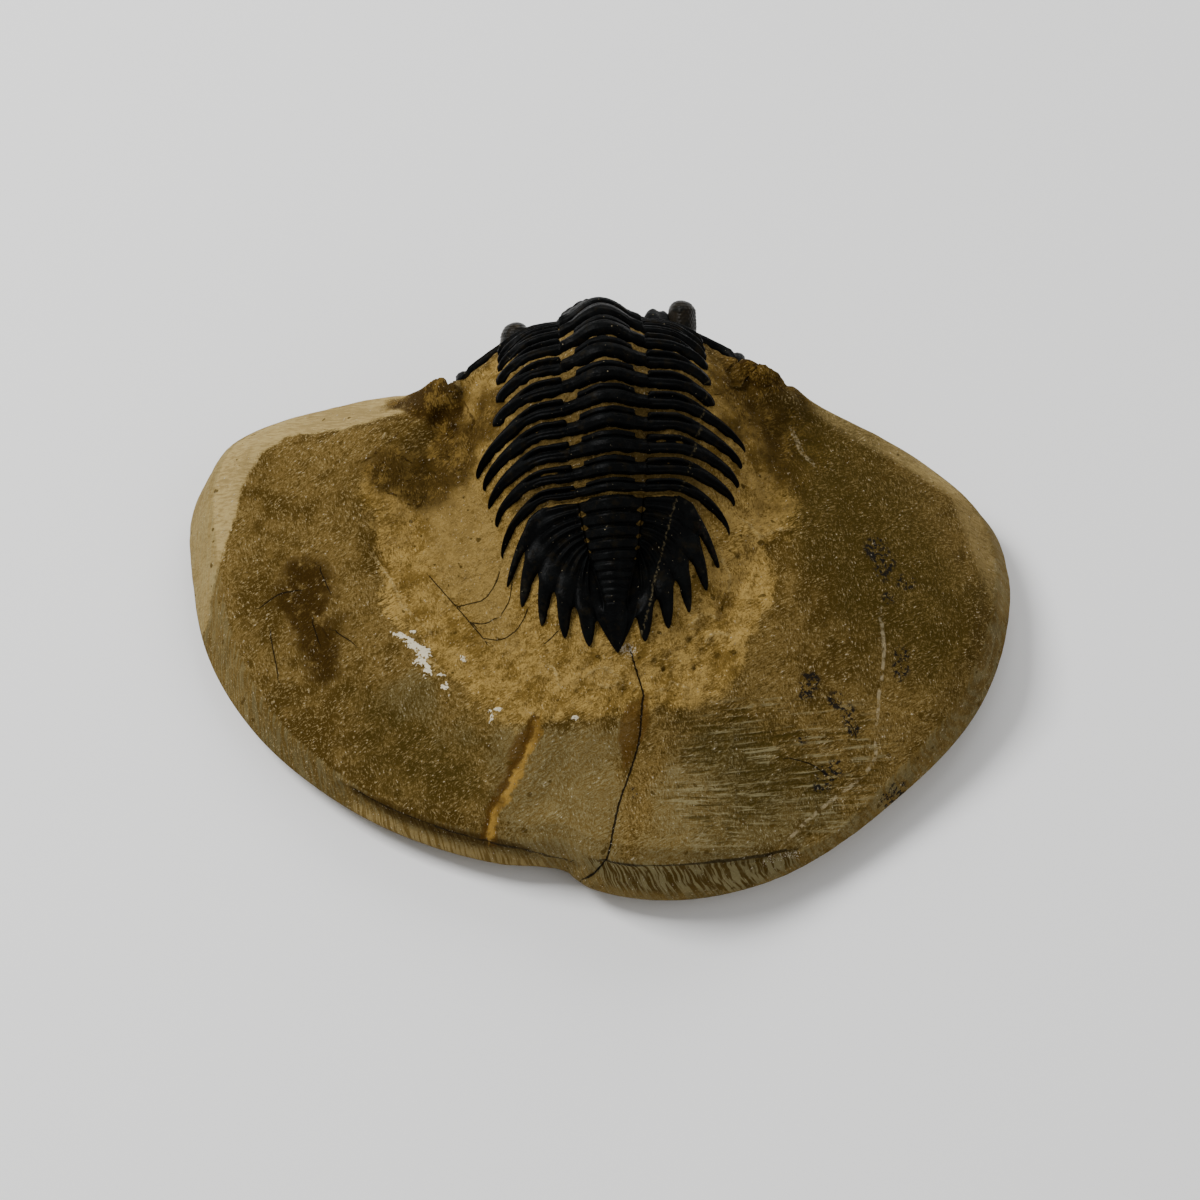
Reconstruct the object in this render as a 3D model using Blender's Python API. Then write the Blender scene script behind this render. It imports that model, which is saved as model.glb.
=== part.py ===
"""Trilobite fossil arched over its block of limestone. Metres, +Z up, +Y towards the head.

The body lies on a smooth sheet that follows a curve from the tail up over the hump and down the back.
A place on the sheet is (s, w, h): s runs along the body from the tail's tip, w is to the side and h is
the height above the sheet, all in millimetres. Every plate of the fossil is laid out in those terms.
"""

import math

import bmesh
import bpy
import numpy as np
from mathutils import Vector
from mathutils.bvhtree import BVHTree

MM = 0.001

# The stone, in millimetres. The outline is its widest level, seen from above.
WIDEST_Z = 3.0
BASE_INSET = 4.0
WALL_SHARE = 0.78
FOOT_Z = 4.0
STONE_OUTLINE = (
    (47.2, 5.6), (45.3, 13.0), (39.0, 18.4), (31.0, 22.0), (24.0, 25.2), (19.0, 29.2), (13.5, 34.0),
    (7.0, 36.5), (0.0, 37.0), (-7.0, 36.2), (-13.0, 33.0), (-18.0, 28.4), (-24.0, 25.6), (-32.0, 25.0),
    (-39.0, 23.6), (-44.9, 20.0), (-47.3, 13.5), (-46.4, 4.0), (-44.0, -5.5), (-38.0, -15.8),
    (-29.4, -24.0), (-17.9, -30.4), (-7.1, -33.1), (-3.6, -33.6), (-0.6, -35.6), (7.5, -37.0),
    (17.8, -34.9), (32.2, -24.8), (43.2, -11.4), (46.7, -1.0),
)
# How far the wall's top and the rim stand in from the outline: (direction in degrees, wall, rim).
EDGE_INSETS = (
    (0, 2.0, 3.8), (25, 2.0, 3.6), (50, 2.4, 3.8), (90, 1.2, 2.4), (130, 2.6, 4.2), (160, 3.2, 6.4),
    (180, 3.0, 5.6), (205, 1.8, 3.8), (235, 0.8, 2.2), (270, 0.6, 1.9), (310, 0.6, 2.0), (335, 1.2, 3.0),
)
# The ground faces of the top, each a plane: (x, y, z of a point on it, rise per mm along x, and along y).
STONE_FACES = (
    (0.0, -36.2, 6.0, 0.0, 0.50),
    (17.0, -32.8, 5.8, -0.20, 0.40),
    (39.0, 15.7, 9.0, -0.60, -0.15),
    (44.0, 4.0, 9.4, -0.30, 0.00),
    (-33.0, -16.3, 7.0, 0.30, 0.30),
    (-42.0, 7.7, 11.5, 0.30, 0.20),
    (-31.0, 16.0, 15.6, 0.27, -0.40),
)
FACE_BLEND = 1.2
ABOVE_ALL = 40.0
# The bowl sunk round the tail: its floor reaches to a share of its radii, and deepens towards the head.
BOWL_CENTRE = (-2.0, 0.7)
BOWL_RADII = (25.0, 22.0)
BOWL_FLOOR = 0.72
BOWL_DEPTH = 1.7
BOWL_DEEPENING = 0.13
BOWL_DEEPENS_FROM = -8.0
BOWL_DEEPENS_OVER = 22.0
# The rough back: height and y where it starts to fall, fall per mm, and how it steps back at the ends.
BACK_TOP = (15.0, 21.0)
BACK_FALL = 2.4
BACK_ENDS = 20.0
BACK_STEP = 0.5
BACK_BLEND = 1.5
FOOT_BLEND = 0.8
# Lumps of rough stone left beside the body: (x, y, radius, height).
LUMPS = ((-17.6, 20.8, 3.2, 4.0), (-24.5, 13.0, 5.5, 1.0), (18.9, 20.2, 3.3, 6.4))

# The body, in millimetres, from the tail's tip.
TAIL_LENGTH = 16.9
THORAX_LENGTHS = (1.8, 2.35, 2.6, 2.55, 2.5, 2.65, 2.85, 2.85, 2.7, 2.5, 2.2)
HEAD_LENGTH = 14.5
TAIL_TIP = (2.2, -13.7, 15.5)
BODY_TURN = math.radians(2.9)
BODY_SKEW = 0.05
JOINTS = np.concatenate([[TAIL_LENGTH], TAIL_LENGTH + np.cumsum(THORAX_LENGTHS)])
NECK = float(JOINTS[-1])
NOSE = NECK + HEAD_LENGTH
GAP = 0.3
BED_DROP = ((0, 1.0), (NECK + 7, 1.1), (NECK + 11, 1.9), (NOSE + 3, 1.9))
# Half the width that the body takes up on the stone: (how far in front of the tail's tip, half width).
FOOTPRINT = (
    (-4, -5), (-1.5, 1.5), (0, 3.5), (2, 7.0), (5, 11.0), (9, 13.5), (14, 15.0), (21, 16.5), (25, 13.6),
    (31, 13.2), (33, 16.1), (38, 16.4), (43, 13.5), (47, 8.0), (50, 1.0), (52, -5),
)
FOOTPRINT_EDGE = 1.4
FOOTPRINT_SINK = 3.0
BED_BLEND = 0.7

# Curves along the body: (place, value). The pitch is in degrees above the horizontal.
PITCH = (
    (-8, 36), (-1, 30), (8, 30), (TAIL_LENGTH, 28), (JOINTS[2], 24), (JOINTS[4], 16), (JOINTS[6], 6),
    (JOINTS[7], -4), (JOINTS[8], -20), (JOINTS[9], -36), (JOINTS[10], -50), (NECK, -58),
    (NECK + 5, -62), (NOSE + 8, -70),
)
AXIS_HALF_WIDTH = (
    (0, 0.9), (5.5, 1.3), (10, 2.5), (TAIL_LENGTH, 3.6), (JOINTS[2], 4.0), (JOINTS[5], 4.6), (NECK, 4.5),
    (NECK + 3, 4.5), (NECK + 6, 5.2), (NECK + 9.5, 6.3), (NECK + 12.5, 6.0), (NOSE, 4.0),
)
AXIS_HEIGHT = (
    (0, 0.1), (5.5, 0.5), (10, 1.4), (TAIL_LENGTH, 2.2), (JOINTS[3], 2.5), (JOINTS[8], 2.4),
    (NECK, 2.2), (NECK + 9, 4.0), (NECK + 12.5, 2.8), (NOSE, 0.6), (NOSE + 3, 0),
)
FULCRUM = ((0, 5.0), (12, 5.6), (JOINTS[1], 7.6), (JOINTS[8], 8.0), (NECK, 8.6), (NECK + 6, 9.6), (NOSE, 7))
SIDE_SLOPE = ((0, 0.5), (12, 0.6), (JOINTS[1], 0.95), (JOINTS[9], 0.95), (NECK, 0.75), (NOSE, 0.8))
FULCRUM_ROUNDING = 2.6
AXIS_ROUNDNESS = ((NECK + 2, 0.9), (NECK + 6, 0.6))
# The right cheek is pressed flatter than the left: by what share, and from where to where it sets in.
RIGHT_CHEEK = (0.22, NECK - 4, NECK + 1)

# Each thorax plate's side ends: (how far out the tip is, how far back it is swept), tail end first.
LEFT_TIPS = (
    (11.9, 6.1), (12.4, 4.5), (13.1, 4.9), (13.6, 5.0), (14.3, 5.8), (12.0, 2.3), (11.5, 1.9),
    (11.4, 1.8), (11.2, 1.7), (11.2, 1.6), (11.2, 1.4),
)
RIGHT_TIPS = (
    (12.8, 5.8), (13.6, 4.4), (14.2, 4.6), (14.7, 4.7), (15.2, 5.0), (11.7, 2.0), (11.4, 1.8),
    (11.2, 1.8), (11.2, 1.7), (11.2, 1.6), (11.2, 1.4),
)
FREE_SPINES = 5
TAPER_AT = (0, 0.5, 0.66, 0.86, 1)
BLADE_TAPER = (1, 1, 0.78, 0.45, 0.06)
BLUNT_TAPER = (1, 1, 0.88, 0.7, 0.4)
SPINE_FROM = (0.5, 0.7)
# A plate's side bends: (before the fulcrum, past it, share of the way to the tip, share of the sweep).
SIDE_BENDS = (0.8, 0.7, 0.9, 0.4)
# Heights across a thorax plate, rear edge to front edge: over the axis, on the side and on the spine.
ACROSS_PLATE = (0, 0.2, 0.5, 0.75, 1)
RING_PROFILE = (0.25, 0.95, 0.9, 0.4, 0.3)
SIDE_PROFILE = (0.2, 0.85, 0.4, 0.85, 0.2)
SPINE_PROFILE = (0.15, 0.6, 0.8, 0.6, 0.15)
RING_ENDS = (0.75, 1.05)

# The tail's fan: where each rib leaves the axis, and (w, s) of each notch and of each spine's tip.
RIB_STARTS = (16.75, 15.1, 13.5, 12.2, 11.0, 10.0)
NOTCHES = ((9.3, 12.0), (8.0, 9.5), (6.4, 7.3), (4.35, 5.45), (1.95, 3.65))
SPINE_TIPS = ((11.5, 8.5), (10.0, 6.1), (7.95, 3.8), (5.6, 2.2), (3.05, 1.05))
# The tail's front edge follows the last thorax plate as far as this share of the plate, at this distance.
FRONT_EDGE_ENDS = 0.72
FRONT_EDGE_GAP = GAP + 0.1
# Each line between ribs bends at these shares of its way out and back; one that barely leaves the axis
# bends close beside it.
RIB_BEND = (0.62, 0.12)
BESIDE_AXIS = (0.5, 0.25)
RIM_HEIGHT = 0.2
SPINE_HEIGHT = 0.7
SPINE_BLUNTNESS = 0.6
SPINE_BULGE = 0.35
# Heights across a rib, front edge to rear edge, and of the axis rings at their edges and middles.
ACROSS_RIB = (0, 0.3, 0.65, 1)
RIB_PROFILE = (0.3, 0.8, 0.7, 0.3)
TAIL_RING = (0.45, 0.95)
TAIL_CROWN = 0.8
AXIS_COLUMNS = (1, 0.62, 0.25, -0.25, -0.62, -1)

# The head.
HEAD_HALF_WIDTH = 16.2
HEAD_CORNER = 1.0
HEAD_ROUNDING = (2.5, 0.55)
HEAD_SPREAD = 0.45
CHEEK_SPINE = 3.0
CHEEK_SPINE_FROM = 0.84
BORDER_PROFILE = (0.2, 0.9, 0.6)
# The furrow across the neck: how far forward, half width and depth. The one round the glabella: half
# width, depth and how far forward it ends.
NECK_FURROW = (2.4, 0.6, 0.45)
GLABELLA_FURROW = (0.9, 0.6, 12.0)
# The swelling beside each eye: how far forward, how far to the side, radius and height.
EYE_SWELLING = (4.8, 6.2, 1.7, 1.0)
EYE_RADII = (2.5, 1.45)
EYE_SIDES = 14
EYE_ROOT = -0.2
EYE_LEAN = 0.2
# An eye's levels: (height from the foot, or down from the top where negative, and size).
EYE_LEVELS = ((0.8, 1.08), (-0.8, 0.98), (-0.1, 0.78))
EYE_CROWN = 0.1
# Each eye: how far in front of the neck, how far to the side and how tall; the left one is worn down.
EYES = (("left_eye_form", 4.6, -9.2, 2.2), ("right_eye_form", 4.6, 9.3, 4.0))

# The underside of a plate: how far it stays off the stone, and what it does where no stone is below.
CLEARANCE = GAP + 0.08
DEEPEST_STONE = 4.0
PLAIN_DEPTH = 1.0
SHARP_ANGLE = math.radians(35)

# How finely each form is divided.
STONE_SECTORS, STONE_RINGS = 80, 14
PLATE_STATIONS, EDGE_STATIONS = 9, 41
RIB_STATIONS = 6
HEAD_COLUMNS, HEAD_ROWS = 28, 10


def along(table, s):
    """The value at s of a curve given as (place, value) pairs."""
    places, values = zip(*table)
    return np.interp(s, places, values)


def smooth_max(a, b, width):
    return 0.5 * (a + b + np.sqrt((a - b) ** 2 + width**2))


def smooth_min(a, b, width):
    return -smooth_max(-a, -b, width)


def smooth_step(edge0, edge1, x):
    t = np.clip((x - edge0) / (edge1 - edge0), 0, 1)
    return t * t * (3 - 2 * t)


def body_line():
    """The body's middle line in its own upright plane: places, y, z and pitch."""
    s = np.linspace(-8, NOSE + 8, 1601)
    pitch = np.radians(along(PITCH, s))
    step = s[1] - s[0]
    middle = (pitch[1:] + pitch[:-1]) / 2
    y = np.concatenate([[0], np.cumsum(np.cos(middle)) * step])
    z = np.concatenate([[0], np.cumsum(np.sin(middle)) * step])
    return s, y - np.interp(0, s, y), z - np.interp(0, s, z), pitch


LINE = body_line()


def relief(s, w):
    """The sheet's own form: the raised axis, and sides that bend down past the fulcrum."""
    out = np.abs(w)
    share = np.clip(out / along(AXIS_HALF_WIDTH, s), 0, 1)
    axis = along(AXIS_HEIGHT, s) * (0.5 + 0.5 * np.cos(np.pi * share)) ** along(AXIS_ROUNDNESS, s)
    ramp = smooth_max(out - along(FULCRUM, s), 0, FULCRUM_ROUNDING)
    flatter, start, end = RIGHT_CHEEK
    right = np.clip(w / along(AXIS_HALF_WIDTH, s), 0, 1) * smooth_step(start, end, s)
    return axis - along(SIDE_SLOPE, s) * (1 - flatter * right) * ramp


def upright(s, w, lift=0.0):
    """The sheet in the body's upright frame: (w, y, z), before it is turned and set in place."""
    line_s, line_y, line_z, line_pitch = LINE
    skewed = s + BODY_SKEW * w
    pitch = np.interp(skewed, line_s, line_pitch)
    n = relief(s, w) + lift
    y = np.interp(skewed, line_s, line_y) - np.sin(pitch) * n
    z = np.interp(skewed, line_s, line_z) + np.cos(pitch) * n
    return w, y, z


def placed(w, y, z):
    """Points of the upright frame turned and set on the stone."""
    cos, sin = math.cos(BODY_TURN), math.sin(BODY_TURN)
    x0, y0, z0 = TAIL_TIP
    return np.stack([x0 + cos * w - sin * y, y0 + sin * w + cos * y, z0 + z], -1)


def sheet_point(s, w):
    return placed(*upright(s, w))


def sheet_normal(s, w):
    """The direction straight out of the sheet."""
    d = 0.05
    forward = sheet_point(s + d, w) - sheet_point(s - d, w)
    sideways = sheet_point(s, w + d) - sheet_point(s, w - d)
    normal = np.cross(sideways, forward)
    return normal / np.linalg.norm(normal, axis=-1, keepdims=True)


def on_body(s, w, h):
    """Points at height h over the sheet."""
    s, w, h = np.broadcast_arrays(*(np.asarray(v, float) for v in (s, w, h)))
    return sheet_point(s, w) + h[..., None] * sheet_normal(s, w)


def bed_table():
    """The height of the stone's bed under the body, over a grid of the upright frame's w and y."""
    w = np.linspace(-30, 30, 121)
    y = np.linspace(-12, 60, 289)
    s = np.linspace(-8, NOSE + 8, 801)
    z = np.empty((len(w), len(y)))
    for row, across in enumerate(w):
        _, line_y, line_z = upright(s, np.full_like(s, across), -along(BED_DROP, s))
        order = np.maximum.accumulate(line_y)
        z[row] = np.interp(y, order, line_z)
    return w, y, z


BED = bed_table()


def body_place(x, y):
    """A point of the plan, as how far it is to the body's side and in front of the tail's tip."""
    cos, sin = math.cos(BODY_TURN), math.sin(BODY_TURN)
    x0, y0, _ = TAIL_TIP
    return cos * (x - x0) + sin * (y - y0), cos * (y - y0) - sin * (x - x0)


def bed_height(w, v):
    """The bed's height at a body_place."""
    grid_w, grid_v, grid_z = BED
    i = np.clip((w - grid_w[0]) / (grid_w[1] - grid_w[0]), 0, len(grid_w) - 1.001)
    j = np.clip((v - grid_v[0]) / (grid_v[1] - grid_v[0]), 0, len(grid_v) - 1.001)
    i0, j0 = i.astype(int), j.astype(int)
    fi, fj = i - i0, j - j0
    low = grid_z[i0, j0] * (1 - fj) + grid_z[i0, j0 + 1] * fj
    high = grid_z[i0 + 1, j0] * (1 - fj) + grid_z[i0 + 1, j0 + 1] * fj
    return TAIL_TIP[2] + low * (1 - fi) + high * fi


def ground_top(x, y):
    """The ground faces, which meet in soft ridges, with the bowl sunk into them."""
    top = np.full_like(x, ABOVE_ALL)
    for px, py, pz, rise_x, rise_y in STONE_FACES:
        top = smooth_min(top, pz + rise_x * (x - px) + rise_y * (y - py), FACE_BLEND)
    out = np.hypot((x - BOWL_CENTRE[0]) / BOWL_RADII[0], (y - BOWL_CENTRE[1]) / BOWL_RADII[1])
    depth = BOWL_DEPTH + BOWL_DEEPENING * np.clip(y - BOWL_DEEPENS_FROM, 0, BOWL_DEEPENS_OVER)
    return top - depth * (1 - smooth_step(BOWL_FLOOR, 1.0, out))


def back_fall(x, y):
    """The steep back of the stone, behind the fossil's head."""
    height, start = BACK_TOP
    return height - BACK_FALL * (y - start - BACK_STEP * np.maximum(np.abs(x) - BACK_ENDS, 0))


def stone_height(x, y):
    """The top of the stone: ground faces, the bowl round the tail, and the hump under the fossil."""
    top = smooth_min(ground_top(x, y), back_fall(x, y), BACK_BLEND)
    top = smooth_max(top, FOOT_Z, FOOT_BLEND)
    for lump_x, lump_y, radius, height in LUMPS:
        top += height * np.exp(-(((x - lump_x) ** 2 + (y - lump_y) ** 2) / radius**2))
    w, v = body_place(x, y)
    bed = bed_height(w, v)
    reach = along(FOOTPRINT, v)
    outside = smooth_step(reach, reach + FOOTPRINT_EDGE, np.abs(w))
    near_body = smooth_max(bed + (top - bed) * outside - FOOTPRINT_SINK * (1 - outside), bed, BED_BLEND)
    return np.maximum(near_body, FOOT_Z)


def outline_radius(angle):
    """The outline's distance from the middle in each direction, by a smooth closed curve."""
    points = np.array(STONE_OUTLINE)
    turn = np.unwrap(np.arctan2(points[:, 1], points[:, 0]))
    reach = np.hypot(points[:, 0], points[:, 1])
    order = np.argsort(turn)
    turn, reach = turn[order], reach[order]
    turn = np.concatenate([turn[-2:] - 2 * np.pi, turn, turn[:2] + 2 * np.pi])
    reach = np.concatenate([reach[-2:], reach, reach[:2]])
    slope = (reach[2:] - reach[:-2]) / (turn[2:] - turn[:-2])
    turn, reach = turn[1:-1], reach[1:-1]
    angle = (angle - turn[0]) % (2 * np.pi) + turn[0]
    k = np.clip(np.searchsorted(turn, angle, side="right") - 1, 0, len(turn) - 2)
    width = turn[k + 1] - turn[k]
    t = (angle - turn[k]) / width
    return (
        (2 * t**3 - 3 * t**2 + 1) * reach[k]
        + (t**3 - 2 * t**2 + t) * width * slope[k]
        + (3 * t**2 - 2 * t**3) * reach[k + 1]
        + (t**3 - t**2) * width * slope[k + 1]
    )


def edge_insets(angle):
    degrees = np.degrees(angle) % 360
    around, wall, rim = zip(*(EDGE_INSETS + ((360, *EDGE_INSETS[0][1:]),)))
    return np.interp(degrees, around, wall), np.interp(degrees, around, rim)


def evenly_spaced(radius, height, count):
    """Radii from the rim to the middle, evenly spaced along the surface."""
    length = np.concatenate([[0], np.cumsum(np.hypot(np.diff(radius), np.diff(height)))])
    return np.interp(np.linspace(0, length[-1], count + 1)[:-1], length, radius)


def stone_rings(sectors, rings):
    """Rings of points from the flat base, out over the widest level and in to the middle of the top."""
    angle = np.arange(sectors) * 2 * np.pi / sectors
    cos, sin = np.cos(angle), np.sin(angle)
    outline = outline_radius(angle)
    wall, rim = edge_insets(angle)
    rim_radius = outline - rim
    rim_z = stone_height(rim_radius * cos, rim_radius * sin)
    wall_z = WIDEST_Z + WALL_SHARE * (rim_z - WIDEST_Z)
    levels = [(outline - BASE_INSET, 0 * angle), (outline, WIDEST_Z + 0 * angle), (outline - wall, wall_z)]
    fine = np.linspace(1, 0, 121)
    radii = np.empty((rings, sectors))
    for k in range(sectors):
        r = rim_radius[k] * fine
        z = stone_height(r * cos[k], r * sin[k])
        radii[:, k] = evenly_spaced(r, z, rings)
    levels += [(r, stone_height(r * cos, r * sin)) for r in radii]
    return [np.stack([r * cos, r * sin, z], -1) for r, z in levels]


def closed_body(levels, bottom, top):
    """Points and faces of a body made of rings, closed by a middle point at each end."""
    count = len(levels[0])
    points = np.concatenate([[bottom], *levels, [top]])
    faces = []
    last = len(points) - 1
    for k in range(count):
        n = (k + 1) % count
        faces.append((0, 1 + n, 1 + k))
        for level in range(len(levels) - 1):
            a, b = 1 + level * count, 1 + (level + 1) * count
            faces.append((a + k, a + n, b + n, b + k))
        faces.append((last - count + k, last - count + n, last))
    return points, faces


def grid_faces(rows, columns):
    """Quads of a grid of points, row by row."""
    return [
        (r * columns + c, r * columns + c + 1, (r + 1) * columns + c + 1, (r + 1) * columns + c)
        for r in range(rows - 1)
        for c in range(columns - 1)
    ]


def tail_path(u, tip, middle):
    """A thorax plate's middle line from the axis out to its tip: (w, s)."""
    fulcrum = float(along(FULCRUM, middle))
    out, back = tip
    before, past, outward, sweep = SIDE_BENDS
    start = fulcrum - before
    bends = ((fulcrum + past, 0), (fulcrum + outward * (out - fulcrum), sweep * back))
    corners = np.array([(start, 0), *bends, (out, back)])
    t = np.clip(2 * u - 1, 0, 1)[:, None]
    curve = (
        (1 - t) ** 3 * corners[0]
        + 3 * (1 - t) ** 2 * t * corners[1]
        + 3 * (1 - t) * t**2 * corners[2]
        + t**3 * corners[3]
    )
    w = np.where(u <= 0.5, 2 * u * start, curve[:, 0])
    return w, middle - curve[:, 1]


def plate_side(number, tip, stations):
    """One side of a thorax plate: centre line, width direction and half width at each station."""
    length = THORAX_LENGTHS[number]
    middle = JOINTS[number] + length / 2
    u = np.linspace(0, 1, stations)
    w, s = tail_path(u, tip, middle)
    along_w, along_s = np.gradient(w), np.gradient(s)
    size = np.hypot(along_w, along_s)
    across = np.stack([-along_s / size, along_w / size], -1)
    taper = BLADE_TAPER if number < FREE_SPINES else BLUNT_TAPER
    half = np.interp(u, TAPER_AT, taper) * (length - GAP) / 2
    return u, w, s, across, half


def plate_height(v, w, u, axis):
    """A thorax plate's height: a ring over the axis, two ridges and a furrow on the side, then a blade."""
    profiles = (RING_PROFILE, SIDE_PROFILE, SPINE_PROFILE)
    ring, ridges, blade = (np.interp(v, ACROSS_PLATE, profile) for profile in profiles)
    side = smooth_step(*RING_ENDS, w / axis)
    outer = smooth_step(*SPINE_FROM, u)
    return ((1 - side) * ring + side * ridges) * (1 - outer) + blade * outer


def thorax_plate_grid(number, stations, shares):
    """(s, w, h) of a thorax plate's top, from its left tip to its right tip."""
    rows = []
    for tip, sign in ((LEFT_TIPS[number], -1), (RIGHT_TIPS[number], 1)):
        u, w, s, across, half = plate_side(number, tip, stations)
        offset = 2 * (shares[None, :] - 0.5) * half[:, None]
        grid_w = w[:, None] + across[:, :1] * offset
        grid_s = s[:, None] + across[:, 1:] * offset
        axis = along(AXIS_HALF_WIDTH, grid_s)
        height = plate_height(shares[None, :] + 0 * grid_w, grid_w, u[:, None] + 0 * grid_w, axis)
        side = np.stack([grid_s, sign * grid_w, height], -1)
        rows.append(side[::-1] if sign < 0 else side[1:])
    return np.concatenate(rows)


def curve_through(start, bend, end, u):
    """Points (w, s) of a curve from start to end that leaves towards bend."""
    start, bend, end = (np.array(p) for p in (start, bend, end))
    u = u[:, None]
    return (1 - u) ** 2 * start + 2 * (1 - u) * u * bend + u**2 * end


def front_edge_of_tail(stations):
    """The tail's front edge, which follows the last thorax plate's rear edge out to the first notch."""
    u, w, s, across, half = plate_side(0, LEFT_TIPS[0], EDGE_STATIONS)
    edge = np.stack([w, s], -1) - across * (half + FRONT_EDGE_GAP)[:, None]
    start = along(AXIS_HALF_WIDTH, RIB_STARTS[0])
    first = int(np.argmax(edge[:, 0] > start))
    end = int(np.argmax(u > FRONT_EDGE_ENDS))
    kept = np.concatenate([[(start, RIB_STARTS[0])], edge[first:end]])
    length = np.concatenate([[0], np.cumsum(np.hypot(*np.diff(kept, axis=0).T))])
    at = np.linspace(0, length[-1], stations)
    return np.stack([np.interp(at, length, kept[:, 0]), np.interp(at, length, kept[:, 1])], -1)


def tail_edges(stations):
    """The six lines between ribs, from the axis to the notches."""
    u = np.linspace(0, 1, stations)
    edges = [front_edge_of_tail(stations)]
    near, beside = BESIDE_AXIS
    for start_s, notch in zip(RIB_STARTS[1:], NOTCHES):
        start = np.array([along(AXIS_HALF_WIDTH, start_s), start_s])
        notch = np.array(notch)
        bend = start + np.array(RIB_BEND) * (notch - start)
        if notch[0] < start[0] + near:
            bend = np.array([start[0] + beside, (start[1] + notch[1]) / 2])
        edges.append(curve_through(start, bend, notch, u))
    return edges


def rib_height(inward, v):
    """A rib's height inside the fan: a low ridge that turns into the spine's rounded back."""
    ridge = np.interp(v, ACROSS_RIB, RIB_PROFILE)
    return inward * ridge + (1 - inward) * (RIM_HEIGHT + SPINE_HEIGHT * spine_back(v))


def spine_back(v):
    """A spine's height across its width, from edge to edge."""
    return np.sqrt(1 - (2 * v - 1) ** 2)


def edge_to_tip(edge, tip, t):
    """A spine's edge from the notch to the tip, bulging a little."""
    start, tip = edge[-1], np.array(tip)
    before = edge[-1] - edge[-2]
    onward = start + SPINE_BULGE * np.linalg.norm(tip - start) * before / np.linalg.norm(before)
    return curve_through(start, (onward + (start + tip) / 2) / 2, tip, t)


def tail_grids(stations, shares):
    """(s, w, h) of each of the right side's ribs with its spine."""
    edges = tail_edges(stations)
    t = np.linspace(0, 1, stations)[1:]
    v = shares[None, :]
    inward = np.linspace(1, 0, stations)[:, None]
    back = spine_back(v) * (1 - t[:, None]) ** SPINE_BLUNTNESS
    height = np.concatenate([rib_height(inward, v), RIM_HEIGHT + SPINE_HEIGHT * back])
    grids = []
    for front, rear, tip in zip(edges[:-1], edges[1:], SPINE_TIPS):
        front = np.concatenate([front, edge_to_tip(front, tip, t)])[:, None]
        rear = np.concatenate([rear, edge_to_tip(rear, tip, t)])[:, None]
        plan = front * (1 - v[..., None]) + rear * v[..., None]
        grids.append(np.stack([plan[..., 1], plan[..., 0], height], -1))
    return grids


def tail_axis_grid(stations, shares):
    """(s, w, h) of the tail's axis and its last spine, in rows from the front to the tip."""
    low, high = TAIL_RING
    rows = []
    for front, rear in zip(RIB_STARTS[:-1], RIB_STARTS[1:]):
        for share in shares if front == RIB_STARTS[0] else shares[1:]:
            s = front + share * (rear - front)
            crown = high - (high - low) * abs(2 * share - 1)
            rows.append((s, along(AXIS_HALF_WIDTH, s), rib_height(1.0, share), crown))
    last = tail_edges(stations)[-1]
    t = np.linspace(0, 1, stations)[1:]
    for share, (w, s) in zip(t, last[1:]):
        rows.append((s, w, rib_height(1 - share, 1.0), TAIL_CROWN))
    for share, (w, s) in zip(t, edge_to_tip(last, (0.0, 0.0), t)):
        rows.append((s, w, RIM_HEIGHT, RIM_HEIGHT + SPINE_HEIGHT * (1 - share) ** SPINE_BLUNTNESS))
    s, half, rim, crown = (np.array(values, float)[:, None] for values in zip(*rows))
    columns = np.array(AXIS_COLUMNS)
    height = np.where(np.abs(columns) == 1, rim, crown)
    return np.stack([s + 0 * columns, half * columns, height], -1)


def head_grid(columns, rows):
    """(s, w, h) of the head shield: a half disc whose rear corners run back as spines."""
    even = np.linspace(-1, 1, columns + 1)
    v = HEAD_SPREAD * np.sin(even * np.pi / 2) + (1 - HEAD_SPREAD) * even
    p = np.linspace(0, 1, rows + 1)[:, None]
    w = HEAD_HALF_WIDTH * v[None, :] + 0 * p
    squareness, rounding = HEAD_ROUNDING
    rear = NECK + GAP / 2 - CHEEK_SPINE * smooth_step(CHEEK_SPINE_FROM, 1.0, np.abs(v)) ** 1.5
    front = NECK + HEAD_CORNER + (HEAD_LENGTH - HEAD_CORNER) * (1 - np.abs(v) ** squareness) ** rounding
    s = rear + p * (front - rear)
    edge = np.minimum(np.minimum(p, 1 - p) * rows, (1 - np.abs(v)) * columns / 2)
    forward, half, depth = NECK_FURROW
    furrow = depth * np.exp(-(((s - NECK - forward) / half) ** 2))
    half, depth, end = GLABELLA_FURROW
    beside = np.exp(-(((np.abs(w) - along(AXIS_HALF_WIDTH, s)) / half) ** 2))
    furrow += depth * beside * (1 - smooth_step(NECK + end - 2, NECK + end, s))
    forward, aside, radius, tall = EYE_SWELLING
    swelling = tall * np.exp(-((s - NECK - forward) ** 2 + (np.abs(w) - aside) ** 2) / radius**2)
    return np.stack([s, w, np.interp(edge, (0, 1, 2), BORDER_PROFILE) - furrow + swelling], -1)


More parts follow.
